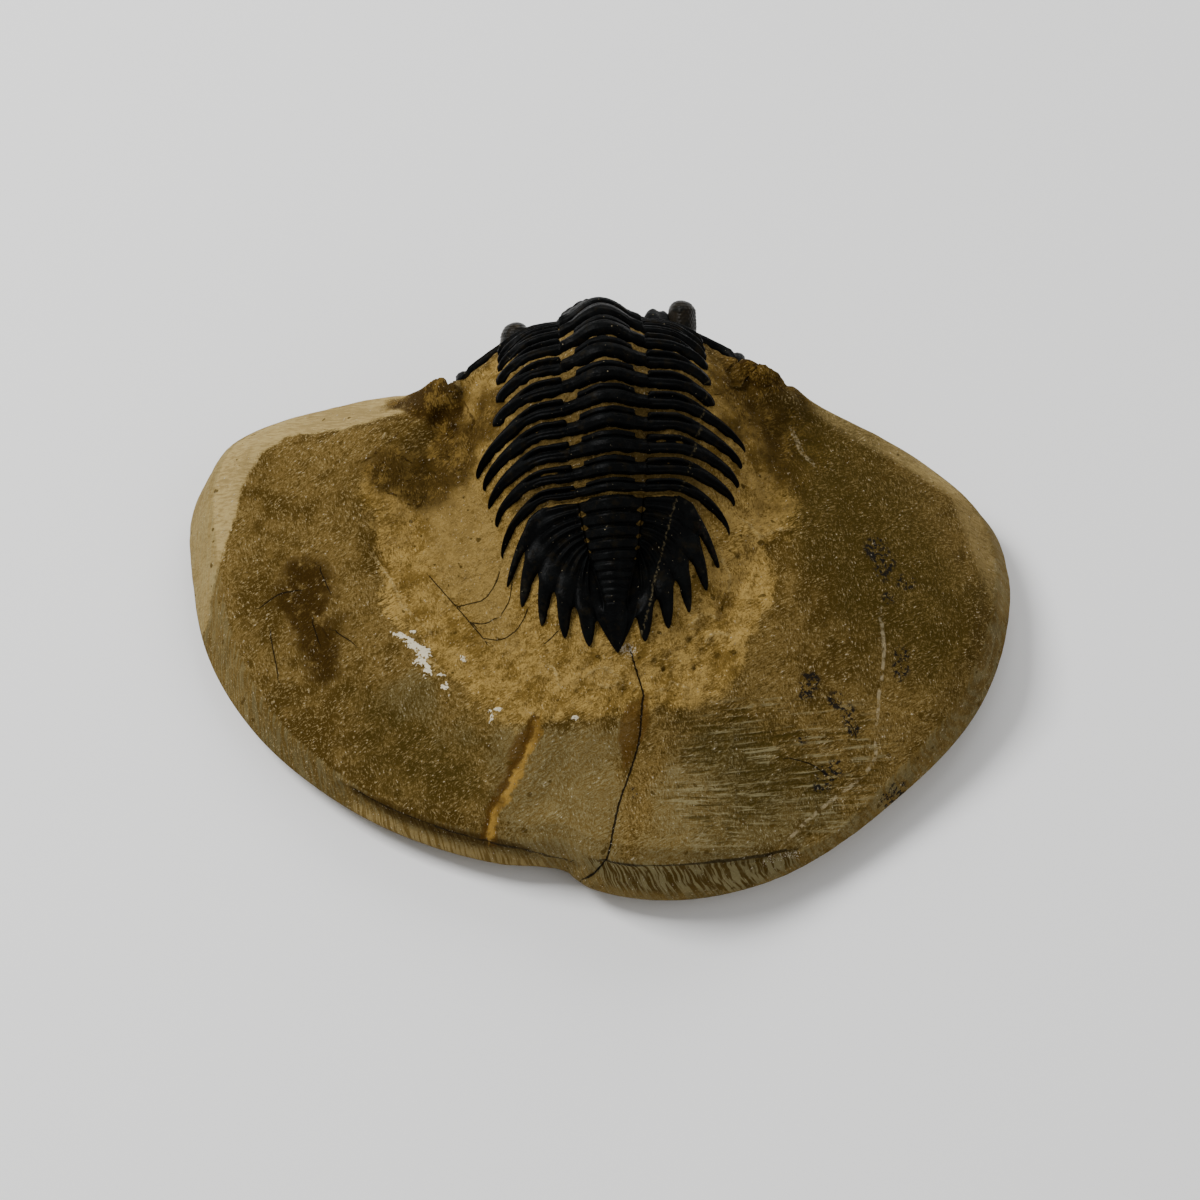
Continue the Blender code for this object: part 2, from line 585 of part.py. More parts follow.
def plate(name, top_grids, stone, material, weld=0.01):
    """A closed plate: the grids' top, and an underside that follows the stone at a small gap."""
    points, normals, faces = [], [], []
    for grid in top_grids:
        start = sum(len(p) for p in points)
        s, w, h = np.moveaxis(grid, -1, 0)
        flat = [a.reshape(-1) for a in (s, w, h)]
        points.append(on_body(*flat))
        normals.append(sheet_normal(flat[0], flat[1]))
        faces += [tuple(start + i for i in face) for face in grid_faces(*grid.shape[:2])]
    points, normals = np.concatenate(points), np.concatenate(normals)
    points, normals, faces = welded(points, normals, faces, weld)
    under = []
    for point, normal in zip(points, normals):
        _, _, _, depth = stone.ray_cast(Vector(point), Vector(-normal))
        if depth is None or depth > DEEPEST_STONE:
            depth = PLAIN_DEPTH
        under.append(point - normal * (depth - CLEARANCE))
    count = len(points)
    sides = [(a, b, b + count, a + count) for b, a in open_edges(faces)]
    bottom = [tuple(i + count for i in reversed(face)) for face in faces]
    return solid(name, np.concatenate([points, under]), faces + sides + bottom, material)


def welded(points, normals, faces, within):
    """One point where grids meet, and no face with a repeated corner twice."""
    _, first, index = np.unique(np.round(points / within), axis=0, return_index=True, return_inverse=True)
    index = index.reshape(-1)
    kept = []
    for face in faces:
        corners = list(dict.fromkeys(int(index[i]) for i in face))
        if len(corners) > 2:
            kept.append(tuple(corners))
    return points[first], normals[first], kept


def open_edges(faces):
    """Edges that one face has and no other."""
    edges = {(a, b) for face in faces for a, b in zip(face, face[1:] + face[:1])}
    return sorted((a, b) for a, b in edges if (b, a) not in edges)


def finish(name, colour, roughness):
    material = bpy.data.materials.new(name)
    material.use_nodes = True
    shader = material.node_tree.nodes["Principled BSDF"]
    shader.inputs["Base Color"].default_value = (*colour, 1)
    shader.inputs["Roughness"].default_value = roughness
    shader.inputs["Metallic"].default_value = 0.0
    return material


def solid(name, points, faces, material):
    mesh = bpy.data.meshes.new(name)
    mesh.from_pydata([tuple(p * MM) for p in points], [], faces)
    bm = bmesh.new()
    bm.from_mesh(mesh)
    bmesh.ops.triangulate(bm, faces=bm.faces)
    if bm.calc_volume(signed=True) < 0:
        bmesh.ops.reverse_faces(bm, faces=bm.faces)
    bm.to_mesh(mesh)
    bm.free()
    mesh.shade_smooth()
    mesh.set_sharp_from_angle(angle=SHARP_ANGLE)
    mesh.materials.append(material)
    obj = bpy.data.objects.new(name, mesh)
    bpy.context.scene.collection.objects.link(obj)
    return obj


def build_stone(material):
    levels = stone_rings(STONE_SECTORS, STONE_RINGS)
    middle = np.zeros(1)
    top = (0.0, 0.0, float(stone_height(middle, middle)[0]))
    points, faces = closed_body(levels, (0.0, 0.0, 0.0), top)
    return solid("matrix_stone", points, faces, material)


def surface_of(obj):
    """The object's triangles in millimetres, for measuring how far below a point it lies."""
    points = [v.co / MM for v in obj.data.vertices]
    return BVHTree.FromPolygons(points, [tuple(p.vertices) for p in obj.data.polygons])


def build_thorax(stone, material):
    shares = np.array(ACROSS_PLATE)
    for number in range(len(THORAX_LENGTHS)):
        grid = thorax_plate_grid(number, PLATE_STATIONS, shares)
        plate(f"thorax_segment_{len(THORAX_LENGTHS) - number:02d}", [grid], stone, material)


def mirrored(grid):
    other = grid[:, ::-1].copy()
    other[..., 1] *= -1
    return other


def build_tail(stone, material):
    shares = np.array(ACROSS_RIB)
    ribs = tail_grids(RIB_STATIONS, shares)
    axis = tail_axis_grid(RIB_STATIONS, shares)
    return plate("pygidium", [axis, *ribs, *map(mirrored, ribs)], stone, material)


def eye_direction(s, w):
    """The way an eye stands up: between the head's own upright and the cheek's."""
    direction = (1 - EYE_LEAN) * sheet_normal(s, np.array(0.0)) + EYE_LEAN * sheet_normal(s, w)
    return direction / np.linalg.norm(direction)


def eye_tower(place_s, place_w, tall):
    """A tapering tower with a rounded top, set into the cheek."""
    turn = np.arange(EYE_SIDES) * 2 * np.pi / EYE_SIDES
    long, wide = EYE_RADII[0] * np.cos(turn), EYE_RADII[1] * np.sin(turn)
    centre = sheet_point(place_s, place_w)
    up = eye_direction(place_s, place_w)
    levels = [on_body(place_s + long, place_w + wide, EYE_ROOT)]
    for level, size in EYE_LEVELS:
        height = level if level > 0 else tall + level
        ring = sheet_point(place_s + size * long, place_w + size * wide)
        levels.append(ring + (height - (ring - centre) @ up)[:, None] * up)
    return closed_body(levels, levels[0].mean(0), levels[-1].mean(0) + EYE_CROWN * up)


def build_head(stone, material):
    head = plate("cephalon", [head_grid(HEAD_COLUMNS, HEAD_ROWS)], stone, material)
    for name, forward, w, tall in EYES:
        points, faces = eye_tower(np.array(NECK + forward), np.array(w), tall)
        eye = solid(name, points, faces, material)
        eye.hide_render = True
        eye.display_type = "WIRE"
        union = head.modifiers.new(name, "BOOLEAN")
        union.operation = "UNION"
        union.solver = "EXACT"
        union.object = eye
    return head


def build():
    for obj in list(bpy.data.objects):
        bpy.data.objects.remove(obj)
    limestone = finish("limestone", (0.24, 0.17, 0.085), 0.85)
    shell = finish("fossil_shell", (0.018, 0.019, 0.022), 0.45)
    stone_object = build_stone(limestone)
    stone = surface_of(stone_object)
    build_tail(stone, shell)
    build_thorax(stone, shell)
    build_head(stone, shell)


build()
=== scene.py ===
"""The looks of a spiny trilobite fossil on its block of limestone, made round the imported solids.

Lengths are millimetres until a mesh is made. A place on the fossil is (s, w, h): s runs along the body
from the tail's tip, w is to its right side, and h is the height over the smooth sheet that it lies on.
A mark on the stone is given by its pixel in the 1200 x 1200 photograph and found on the stone from there.
"""

import math

import bpy
import numpy as np
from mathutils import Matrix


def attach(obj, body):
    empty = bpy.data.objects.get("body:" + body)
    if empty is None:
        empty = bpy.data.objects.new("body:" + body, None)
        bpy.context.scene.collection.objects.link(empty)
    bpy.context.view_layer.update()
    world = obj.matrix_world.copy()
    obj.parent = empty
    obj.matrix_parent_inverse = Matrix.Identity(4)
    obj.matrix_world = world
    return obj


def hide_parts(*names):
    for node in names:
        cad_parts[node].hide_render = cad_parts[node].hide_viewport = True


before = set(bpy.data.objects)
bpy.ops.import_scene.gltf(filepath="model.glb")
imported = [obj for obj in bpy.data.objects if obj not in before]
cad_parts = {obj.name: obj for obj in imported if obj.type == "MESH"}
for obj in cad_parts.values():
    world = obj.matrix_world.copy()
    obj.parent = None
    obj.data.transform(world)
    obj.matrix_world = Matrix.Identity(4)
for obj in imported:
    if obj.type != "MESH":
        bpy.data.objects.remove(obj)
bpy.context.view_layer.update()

MM = 0.001
# Farther in mm than any mark reaches.
FAR = 99.0

# The camera: the photograph's view.
PHOTO_SIZE = 1200
FOCAL_PIXELS = 2740.0
SENSOR_MM = 36.0
CLIP_START = 0.01
TARGET = np.array([0.3, -4.3, 12.0])
DISTANCE = 300.0
PER_MM = FOCAL_PIXELS / DISTANCE
ELEVATION = math.radians(55)

# The stone's outline at its widest level, seen from above, and its edges.
WIDEST_Z = 3.0
BASE_INSET = 4.0
WALL_SHARE = 0.78
FOOT_Z = 4.0
STONE_OUTLINE = (
    (47.2, 5.6), (45.3, 13.0), (39.0, 18.4), (31.0, 22.0), (24.0, 25.2), (19.0, 29.2), (13.5, 34.0),
    (7.0, 36.5), (0.0, 37.0), (-7.0, 36.2), (-13.0, 33.0), (-18.0, 28.4), (-24.0, 25.6), (-32.0, 25.0),
    (-39.0, 23.6), (-44.9, 20.0), (-47.3, 13.5), (-46.4, 4.0), (-44.0, -5.5), (-38.0, -15.8),
    (-29.4, -24.0), (-17.9, -30.4), (-7.1, -33.1), (-3.6, -33.6), (-0.6, -35.6), (7.5, -37.0),
    (17.8, -34.9), (32.2, -24.8), (43.2, -11.4), (46.7, -1.0),
)
# How far the wall's top and the rim stand in from the outline: (direction in degrees, wall, rim).
EDGE_INSETS = (
    (0, 2.0, 3.8), (25, 2.0, 3.6), (50, 2.4, 3.8), (90, 1.2, 2.4), (130, 2.6, 4.2), (160, 3.2, 6.4),
    (180, 3.0, 5.6), (205, 1.8, 3.8), (235, 0.8, 2.2), (270, 0.6, 1.9), (310, 0.6, 2.0), (335, 1.2, 3.0),
)
# The ground faces of the top, each a plane: (x, y, z of a point on it, rise per mm along x, and along y).
STONE_FACES = (
    (0.0, -36.2, 6.0, 0.0, 0.50),
    (17.0, -32.8, 5.8, -0.20, 0.40),
    (39.0, 15.7, 9.0, -0.60, -0.15),
    (44.0, 4.0, 9.4, -0.30, 0.00),
    (-33.0, -16.3, 7.0, 0.30, 0.30),
    (-42.0, 7.7, 11.5, 0.30, 0.20),
    (-31.0, 16.0, 15.6, 0.27, -0.40),
)
FACE_BLEND = 0.9
ABOVE_ALL = 40.0
BOWL_CENTRE = (-2.0, 0.7)
BOWL_RADII = (25.0, 22.0)
BOWL_FLOOR = 0.72
BOWL_DEPTH = 1.7
BOWL_DEEPENING = 0.13
BOWL_DEEPENS_FROM = -8.0
BOWL_DEEPENS_OVER = 22.0
BACK_TOP = (15.0, 21.0)
BACK_FALL = 2.4
BACK_ENDS = 20.0
BACK_STEP = 0.5
BACK_BLEND = 1.5
FOOT_BLEND = 0.8
LUMPS = ((-17.6, 20.8, 3.2, 4.0), (-24.5, 13.0, 5.5, 1.0), (18.9, 20.2, 3.3, 6.4))
# Stone that covers the ends of the cheeks: (x, y, radius, height).
COVERS = ((-15.9, 18.3, 1.3, 1.3), (17.1, 21.2, 2.0, 1.6))

# The body, from the tail's tip.
TAIL_LENGTH = 16.9
THORAX_LENGTHS = (1.8, 2.35, 2.6, 2.55, 2.5, 2.65, 2.85, 2.85, 2.7, 2.5, 2.2)
HEAD_LENGTH = 14.5
TAIL_TIP = (2.2, -13.7, 15.5)
BODY_TURN = math.radians(2.9)
BODY_SKEW = 0.05
JOINTS = np.concatenate([[TAIL_LENGTH], TAIL_LENGTH + np.cumsum(THORAX_LENGTHS)])
NECK = float(JOINTS[-1])
NOSE = NECK + HEAD_LENGTH
GAP = 0.3
# How far the smooth sheet runs past both ends of the body.
SHEET_ENDS = (-8, NOSE + 8)
FOOTPRINT = (
    (-4, -5), (-1.5, 1.5), (0, 3.5), (2, 7.0), (5, 11.0), (9, 13.5), (14, 15.0), (21, 16.5), (25, 13.6),
    (31, 13.2), (33, 16.1), (38, 16.4), (43, 13.5), (47, 8.0), (50, 1.0), (52, -5),
)
FOOTPRINT_EDGE = 1.4
FOOTPRINT_SINK = 3.0
BED_BLEND = 0.5
BED_REACH = (19, 22)
BED_DROP = 12.0
BED_SIDES, BED_ENDS = (-30, 30), (-12, 60)

PITCH = (
    (-8, 36), (-1, 30), (8, 30), (TAIL_LENGTH, 28), (JOINTS[2], 24), (JOINTS[4], 16), (JOINTS[6], 6),
    (JOINTS[7], -4), (JOINTS[8], -20), (JOINTS[9], -36), (JOINTS[10], -50), (NECK, -58),
    (NECK + 5, -62), (NOSE + 8, -70),
)
AXIS_HALF_WIDTH = (
    (0, 0.9), (5.5, 1.3), (10, 2.5), (TAIL_LENGTH, 3.6), (JOINTS[2], 4.0), (JOINTS[5], 4.6), (NECK, 4.5),
    (NECK + 3, 4.5), (NECK + 6, 5.2), (NECK + 9.5, 6.3), (NECK + 12.5, 6.0), (NOSE, 4.0),
)
AXIS_HEIGHT = (
    (0, 0.1), (5.5, 0.5), (10, 1.4), (TAIL_LENGTH, 2.2), (JOINTS[3], 2.5), (JOINTS[8], 2.4),
    (NECK, 2.2), (NECK + 9, 4.0), (NECK + 12.5, 2.8), (NOSE, 0.6), (NOSE + 3, 0),
)
FULCRUM = ((0, 5.0), (12, 5.6), (JOINTS[1], 7.6), (JOINTS[8], 8.0), (NECK, 8.6), (NECK + 6, 9.6), (NOSE, 7))
SIDE_SLOPE = ((0, 0.5), (12, 0.6), (JOINTS[1], 0.95), (JOINTS[9], 0.95), (NECK, 0.75), (NOSE, 0.8))
FULCRUM_ROUNDING = 2.6
AXIS_ROUNDNESS = ((NECK + 2, 0.9), (NECK + 6, 0.6))
RIGHT_CHEEK = (0.22, NECK - 4, NECK + 1)

# Each thorax plate's side ends: (how far out the tip is, how far back it is swept), tail end first.
LEFT_TIPS = (
    (11.9, 6.1), (12.4, 4.5), (13.1, 4.9), (13.6, 5.0), (14.3, 5.8), (12.0, 2.3), (11.5, 1.9),
    (11.4, 1.8), (11.2, 1.7), (11.2, 1.6), (11.2, 1.4),
)
RIGHT_TIPS = (
    (12.8, 5.8), (13.6, 4.4), (14.2, 4.6), (14.7, 4.7), (15.2, 5.0), (11.7, 2.0), (11.4, 1.8),
    (11.2, 1.8), (11.2, 1.7), (11.2, 1.6), (11.2, 1.4),
)
FREE_SPINES = 5
SPINES_WORN_FROM = 12.5
# The height over the sheet of each plate's plain underside.
PLATE_UNDER, TAIL_UNDER, HEAD_UNDER = -0.45, -0.5, -0.75
TAPER_AT = (0, 0.5, 0.58, 0.66, 0.76, 0.86, 0.95, 1)
BLADE_TAPER = (1, 1, 0.96, 0.87, 0.71, 0.45, 0.2, 0.02)
BLUNT_TAPER = (1, 1, 0.95, 0.88, 0.8, 0.7, 0.55, 0.35)
SIDE_BENDS = (0.8, 0.7, 0.9, 0.4)

# Heights across a thorax plate from its rear edge (0) to its front edge (1).
RING = (
    (0, -0.1), (0.05, 0.5), (0.12, 0.8), (0.32, 0.92), (0.5, 0.86), (0.6, 0.54), (0.66, 0.28),
    (0.74, 0.62), (0.9, 0.62), (1, 0.1),
)
SHOULDER = (
    (0, -0.1), (0.06, 0.55), (0.14, 0.9), (0.3, 1.08), (0.5, 0.92), (0.64, 0.66), (0.8, 0), (1, -0.25),
)
PLEURA = (
    (0, -0.1), (0.05, 0.4), (0.13, 0.68), (0.32, 0.78), (0.46, 0.7), (0.64, 0.62), (0.76, 0.74),
    (0.86, 0.66), (0.94, 0.25), (1, -0.25),
)
SPINE = ((0, -0.1), (0.08, 0.34), (0.42, 0.76), (0.8, 0.48), (1, -0.1))

# The tail's fan: where each rib leaves the axis, and (w, s) of each notch and of each spine's tip.
RIB_STARTS = (16.75, 15.1, 13.5, 12.2, 11.0, 10.0)
NOTCHES = ((9.3, 12.0), (8.0, 9.5), (6.4, 7.3), (4.35, 5.45), (1.95, 3.65))
SPINE_TIPS = ((11.5, 8.5), (10.0, 6.1), (7.95, 3.8), (5.6, 2.2), (3.05, 1.05))
FRONT_EDGE_ENDS = 0.72
FRONT_EDGE_GAP = GAP + 0.1
RIB_BEND = (0.62, 0.12)
BESIDE_AXIS = (0.5, 0.25)
RIM_HEIGHT = 0.2
SPINE_HEIGHT = 0.7
SPINE_BLUNTNESS = 0.6
SPINE_BULGE = 0.35
FINGER_WIDTH = 0.68
FINGER_TAPER = 1.7
NOTCH_ROUNDING = 0.09
TAIL_RING_PLACES = (15.9, 14.3, 12.95, 11.6, 10.45, 9.3, 8.35, 7.5, 6.75, 6.1)
TAIL_AXIS_END, TAIL_CROWN = 5.3, 0.85
TAIL_FURROW_DEPTH = ((5.5, 0.1), (8, 0.24), (12, 0.38), (16, 0.45))
TAIL_FURROW_HALF_WIDTH = ((5.5, 0.14), (16, 0.22))
TAIL_WORN = (7.0, 9.5)
# How big the pit beside each of the tail's first rings is, on the left and on the right.
SHOULDER_PITS = ((0.55, 0.6), (0.5, 0.55), (0.42, 0.42), (0.22, 0.4), (0.0, 0.22))
TAIL_AXIS_WIDTH = ((0, 0.8), (5.3, 1.15), (7, 1.35), (10, 2.2), (13, 2.85), (16.9, 3.45))

# The head.
HEAD_HALF_WIDTH = 16.2
HEAD_CORNER = 1.0
HEAD_ROUNDING = (2.5, 0.55)
HEAD_SPREAD = 0.45
CHEEK_SPINE = 3.0
CHEEK_SPINE_FROM = 0.84
GLABELLA_FRONT = (8.4, 4.6)
# Each pair of side furrows: how far in front of the neck, its slant, and where it starts across.
GLABELLA_FURROWS = ((4.1, 0.9, 0.45), (6.0, 0.3, 0.5), (8.2, -1.2, 0.4))
HEAD_RIM = ((0, 0.0), (0.25, 0.32), (0.6, 0.42), (1.0, 0.34), (1.35, 0.12), (1.9, 0.3), (9, 0.3))
# The cheek's swelling at the eye, as how far ahead of the neck and aside it is, its radius and height.
EYE_SWELLING = (4.8, 6.5, 1.7, 1.0)
# The furrow round each eye: how far ahead and aside, and its radii.
EYE_FURROW = (4.6, 9.3, 3.4, 2.5)
RIGHT_LOBE = 2.4
EYE_RADII = (2.5, 1.45)
EYE_LEAN = 0.2
# Each eye: how far in front of the neck, how far to the side, how tall, and how worn.
EYES = (("left_eye", 4.6, -9.2, 2.2, 0.8), ("right_eye", 4.6, 9.3, 4.0, 0.15))
LENS_PITCH = 0.44
# An eye's width by its height over the head, and near the lid by how far it is below the top.
EYE_FOOT = ((-0.3, 1.5), (0.4, 1.34), (0.8, 1.26))
EYE_LID = ((1.1, 1.16), (0.7, 1.08), (0.35, 0.92), (0.12, 0.72), (0, 0.5))
EYE_DEPTH = 0.3
LENS_HEIGHT, LENS_SHARE = 0.11, 0.47
# The rings of an eye's top, as shares of the way in, and how far it rises.
EYE_TOP_RINGS, EYE_TOP_RISE, EYE_TOP_BULGE = (0.3, 0.6, 0.85), 0.12, 0.14

# How finely each form is divided.
STONE_SECTORS, STONE_RINGS = 640, 128
FINER_WITHIN, FINER = (16, 24), 1.2
PLATE_STATIONS, PLATE_SHARES = 84, 32
RIB_STATIONS, RIB_SHARES = 26, 18
AXIS_COLUMNS = 40
HEAD_COLUMNS, HEAD_ROWS = 270, 120
EYE_TURNS, EYE_ROWS = 132, 44


def along(table, s):
    """The value at s of a curve given as (place, value) pairs."""
    places, values = zip(*table)
    return np.interp(s, places, values)


def soft(table, x):
    """A curve through (place, value) pairs that is level at each of them."""
    places, values = (np.array(column, float) for column in zip(*table))
    k = np.clip(np.searchsorted(places, x, side="right") - 1, 0, len(places) - 2)
    t = np.clip((x - places[k]) / (places[k + 1] - places[k]), 0, 1)
    return values[k] + (values[k + 1] - values[k]) * t * t * (3 - 2 * t)


def smooth_max(a, b, width):
    return 0.5 * (a + b + np.sqrt((a - b) ** 2 + width**2))


def smooth_min(a, b, width):
    return -smooth_max(-a, -b, width)


def smooth_step(edge0, edge1, x):
    t = np.clip((x - edge0) / (edge1 - edge0), 0, 1)
    return t * t * (3 - 2 * t)


def bump(x, centre, half):
    """A rounded bump of height 1."""
    return np.exp(-(((x - centre) / half) ** 2))


def knob(x, y, place_x, place_y, radius, height):
    """A rounded knob on a plane."""
    return height * np.exp(-((x - place_x) ** 2 + (y - place_y) ** 2) / radius**2)


def unit(vectors):
    """Vectors made one long."""
    return vectors / np.linalg.norm(vectors, axis=-1, keepdims=True)


LATTICE = np.random.default_rng(11).random((32, 32, 32))


def noise(points, size, seed=0):
    """Smooth noise from -1 to 1, with lumps about size across."""
    p = np.asarray(points, float) / size + seed * 5.37
    cell = np.floor(p).astype(int)
    f = p - cell
    f = f * f * (3 - 2 * f)
    total = 0
    for corner in range(8):
        step = np.array([corner & 1, corner >> 1 & 1, corner >> 2])
        i, j, k = np.moveaxis((cell + step) % 32, -1, 0)
        total = total + LATTICE[i, j, k] * np.prod(np.where(step, f, 1 - f), -1)
    return 2 * total - 1


def rough(points, size, octaves=4, gain=0.55, seed=0):
    """Noise with finer noise on it."""
    total, share = 0, 1.0
    for octave in range(octaves):
        total = total + share * noise(points, size / 2**octave, seed + octave)
        share *= gain
    return total


def flat_points(*columns):
    """Points from their coordinates, with zero for a missing third."""
    columns = np.broadcast_arrays(*columns)
    if len(columns) == 2:
        columns = [*columns, np.zeros_like(columns[0])]
    return np.stack(columns, -1)


def grains(u, v, size, seed=0):
    """Rounded grains scattered over a plane, from 0 between them to 1 on top."""
    best = np.full(np.broadcast(u, v).shape, 9.0)
    cell_u, cell_v = np.floor(u / size).astype(int), np.floor(v / size).astype(int)
    for du in (-1, 0, 1):
        for dv in (-1, 0, 1):
            i, j = cell_u + du, cell_v + dv
            shift_u = LATTICE[i % 32, j % 32, seed % 32]
            shift_v = LATTICE[j % 32, i % 32, (seed + 5) % 32]
            reach = 0.55 + 0.5 * LATTICE[i % 32, j % 32, (seed + 9) % 32]
            away = np.hypot(u / size - i - shift_u, v / size - j - shift_v) / reach
            best = np.minimum(best, away * 2)
    return np.clip(1 - best**2, 0, 1)


def body_line():
    """The body's middle line in its own upright plane: places, y, z and pitch."""
    s = np.linspace(*SHEET_ENDS, 1601)
    pitch = np.radians(along(PITCH, s))
    step = s[1] - s[0]
    middle = (pitch[1:] + pitch[:-1]) / 2
    y = np.concatenate([[0], np.cumsum(np.cos(middle)) * step])
    z = np.concatenate([[0], np.cumsum(np.sin(middle)) * step])
    return s, y - np.interp(0, s, y), z - np.interp(0, s, z), pitch


LINE = body_line()


def relief(s, w):
    """The sheet's own form: the raised axis, and sides that bend down past the fulcrum."""
    out = np.abs(w)
    share = np.clip(out / along(AXIS_HALF_WIDTH, s), 0, 1)
    axis = along(AXIS_HEIGHT, s) * (0.5 + 0.5 * np.cos(np.pi * share)) ** along(AXIS_ROUNDNESS, s)
    ramp = smooth_max(out - along(FULCRUM, s), 0, FULCRUM_ROUNDING)
    flatter, start, end = RIGHT_CHEEK
    right = np.clip(w / along(AXIS_HALF_WIDTH, s), 0, 1) * smooth_step(start, end, s)
    return axis - along(SIDE_SLOPE, s) * (1 - flatter * right) * ramp


def upright(s, w, lift=0.0):
    """The sheet in the body's upright frame: (w, y, z), before it is turned and set in place."""
    line_s, line_y, line_z, line_pitch = LINE
    skewed = s + BODY_SKEW * w
    pitch = np.interp(skewed, line_s, line_pitch)
    n = relief(s, w) + lift
    y = np.interp(skewed, line_s, line_y) - np.sin(pitch) * n
    z = np.interp(skewed, line_s, line_z) + np.cos(pitch) * n
    return w, y, z


def placed(w, y, z):
    """Points of the upright frame turned and set on the stone."""
    cos, sin = math.cos(BODY_TURN), math.sin(BODY_TURN)
    x0, y0, z0 = TAIL_TIP
    return np.stack([x0 + cos * w - sin * y, y0 + sin * w + cos * y, z0 + z], -1)


def sheet_point(s, w):
    return placed(*upright(s, w))


def sheet_normal(s, w):
    """The direction straight out of the sheet."""
    d = 0.05
    forward = sheet_point(s + d, w) - sheet_point(s - d, w)
    sideways = sheet_point(s, w + d) - sheet_point(s, w - d)
    return unit(np.cross(sideways, forward))


def on_body(s, w, h):
    """Points at height h over the sheet."""
    s, w, h = np.broadcast_arrays(*(np.asarray(v, float) for v in (s, w, h)))
    return sheet_point(s, w) + h[..., None] * sheet_normal(s, w)


def view_axes():
    """The camera's place and its forward, right and up directions."""
    cos, sin = math.cos(ELEVATION), math.sin(ELEVATION)
    forward = np.array([0, cos, -sin])
    return TARGET - DISTANCE * forward, forward, np.array([1.0, 0, 0]), np.array([0, sin, cos])


def pixels_of(points):
    """Where points show in the photograph."""
    place, forward, right, up = view_axes()
    ray = points - place
    depth = ray @ forward
    middle = PHOTO_SIZE / 2
    return np.stack([middle + FOCAL_PIXELS * (ray @ right) / depth,
                     middle - FOCAL_PIXELS * (ray @ up) / depth], -1)


# The matrix under and between the plates: its height over the sheet.
FLUSH = -0.12
HEAD_BED = ((NECK - 0.5, 0.0), (NECK + 1, -0.5), (NECK + 7, -0.6), (NECK + 11, -1.4), (NOSE + 3, -1.4))
FILL_ACROSS = ((0, 0.0), (0.55, 0.04), (0.72, 0.32), (0.95, 0.3), (1.08, 0.04), (9, 0.04))
FILL_STARTS = (TAIL_LENGTH - 0.6, TAIL_LENGTH + 0.2)
FILL_FADES = (1.5, 4.0)


def matrix_lift(s, w):
    """How high the matrix stands over the sheet: flush round the spines, and filled in between plates."""
    out = np.abs(w)
    across = soft(FILL_ACROSS, out / along(AXIS_HALF_WIDTH, s))
    past = out - along(FULCRUM, s)
    inside = smooth_step(*FILL_STARTS, s) * (1 - smooth_step(NECK, NECK + 0.8, s))
    inside = inside * (1 - smooth_step(*FILL_FADES, past))
    return FLUSH + (across - FLUSH) * inside + along(HEAD_BED, s)


def bed_table():
    """The height of the matrix under the body, over a grid of the upright frame's w and y."""
    w = np.linspace(*BED_SIDES, 301)
    y = np.linspace(*BED_ENDS, 721)
    s = np.linspace(*SHEET_ENDS, 1401)
    z = np.empty((len(w), len(y)))
    for row, across in enumerate(w):
        _, line_y, line_z = upright(s, np.full_like(s, across), matrix_lift(s, across))
        order = np.maximum.accumulate(line_y)
        z[row] = np.interp(y, order, line_z)
    return w, y, z


BED = bed_table()


def body_place(x, y):
    """A point of the plan, as how far it is to the body's side and in front of the tail's tip."""
    cos, sin = math.cos(BODY_TURN), math.sin(BODY_TURN)
    x0, y0, _ = TAIL_TIP
    return cos * (x - x0) + sin * (y - y0), cos * (y - y0) - sin * (x - x0)


def bed_height(w, v):
    """The bed's height at a body_place."""
    grid_w, grid_v, grid_z = BED
    i = np.clip((w - grid_w[0]) / (grid_w[1] - grid_w[0]), 0, len(grid_w) - 1.001)
    j = np.clip((v - grid_v[0]) / (grid_v[1] - grid_v[0]), 0, len(grid_v) - 1.001)
    i0, j0 = i.astype(int), j.astype(int)
    fi, fj = i - i0, j - j0
    low = grid_z[i0, j0] * (1 - fj) + grid_z[i0, j0 + 1] * fj
    high = grid_z[i0 + 1, j0] * (1 - fj) + grid_z[i0 + 1, j0 + 1] * fj
    return TAIL_TIP[2] + low * (1 - fi) + high * fi


def ground_top(x, y):
    """The ground faces, which meet in soft ridges, with the bowl sunk into them."""
    top = np.full_like(x, ABOVE_ALL)
    for px, py, pz, rise_x, rise_y in STONE_FACES:
        top = smooth_min(top, pz + rise_x * (x - px) + rise_y * (y - py), FACE_BLEND)
    out = np.hypot((x - BOWL_CENTRE[0]) / BOWL_RADII[0], (y - BOWL_CENTRE[1]) / BOWL_RADII[1])
    depth = BOWL_DEPTH + BOWL_DEEPENING * np.clip(y - BOWL_DEEPENS_FROM, 0, BOWL_DEEPENS_OVER)
    return top - depth * (1 - smooth_step(BOWL_FLOOR, 1.0, out))


def back_fall(x, y):
    """The steep back of the stone, behind the fossil's head."""
    height, start = BACK_TOP
    return height - BACK_FALL * (y - start - BACK_STEP * np.maximum(np.abs(x) - BACK_ENDS, 0))


def beside_body(x, y):
    """0 under the body and 1 away from it."""
    w, v = body_place(x, y)
    reach = along(FOOTPRINT, v)
    return smooth_step(reach, reach + FOOTPRINT_EDGE, np.abs(w))


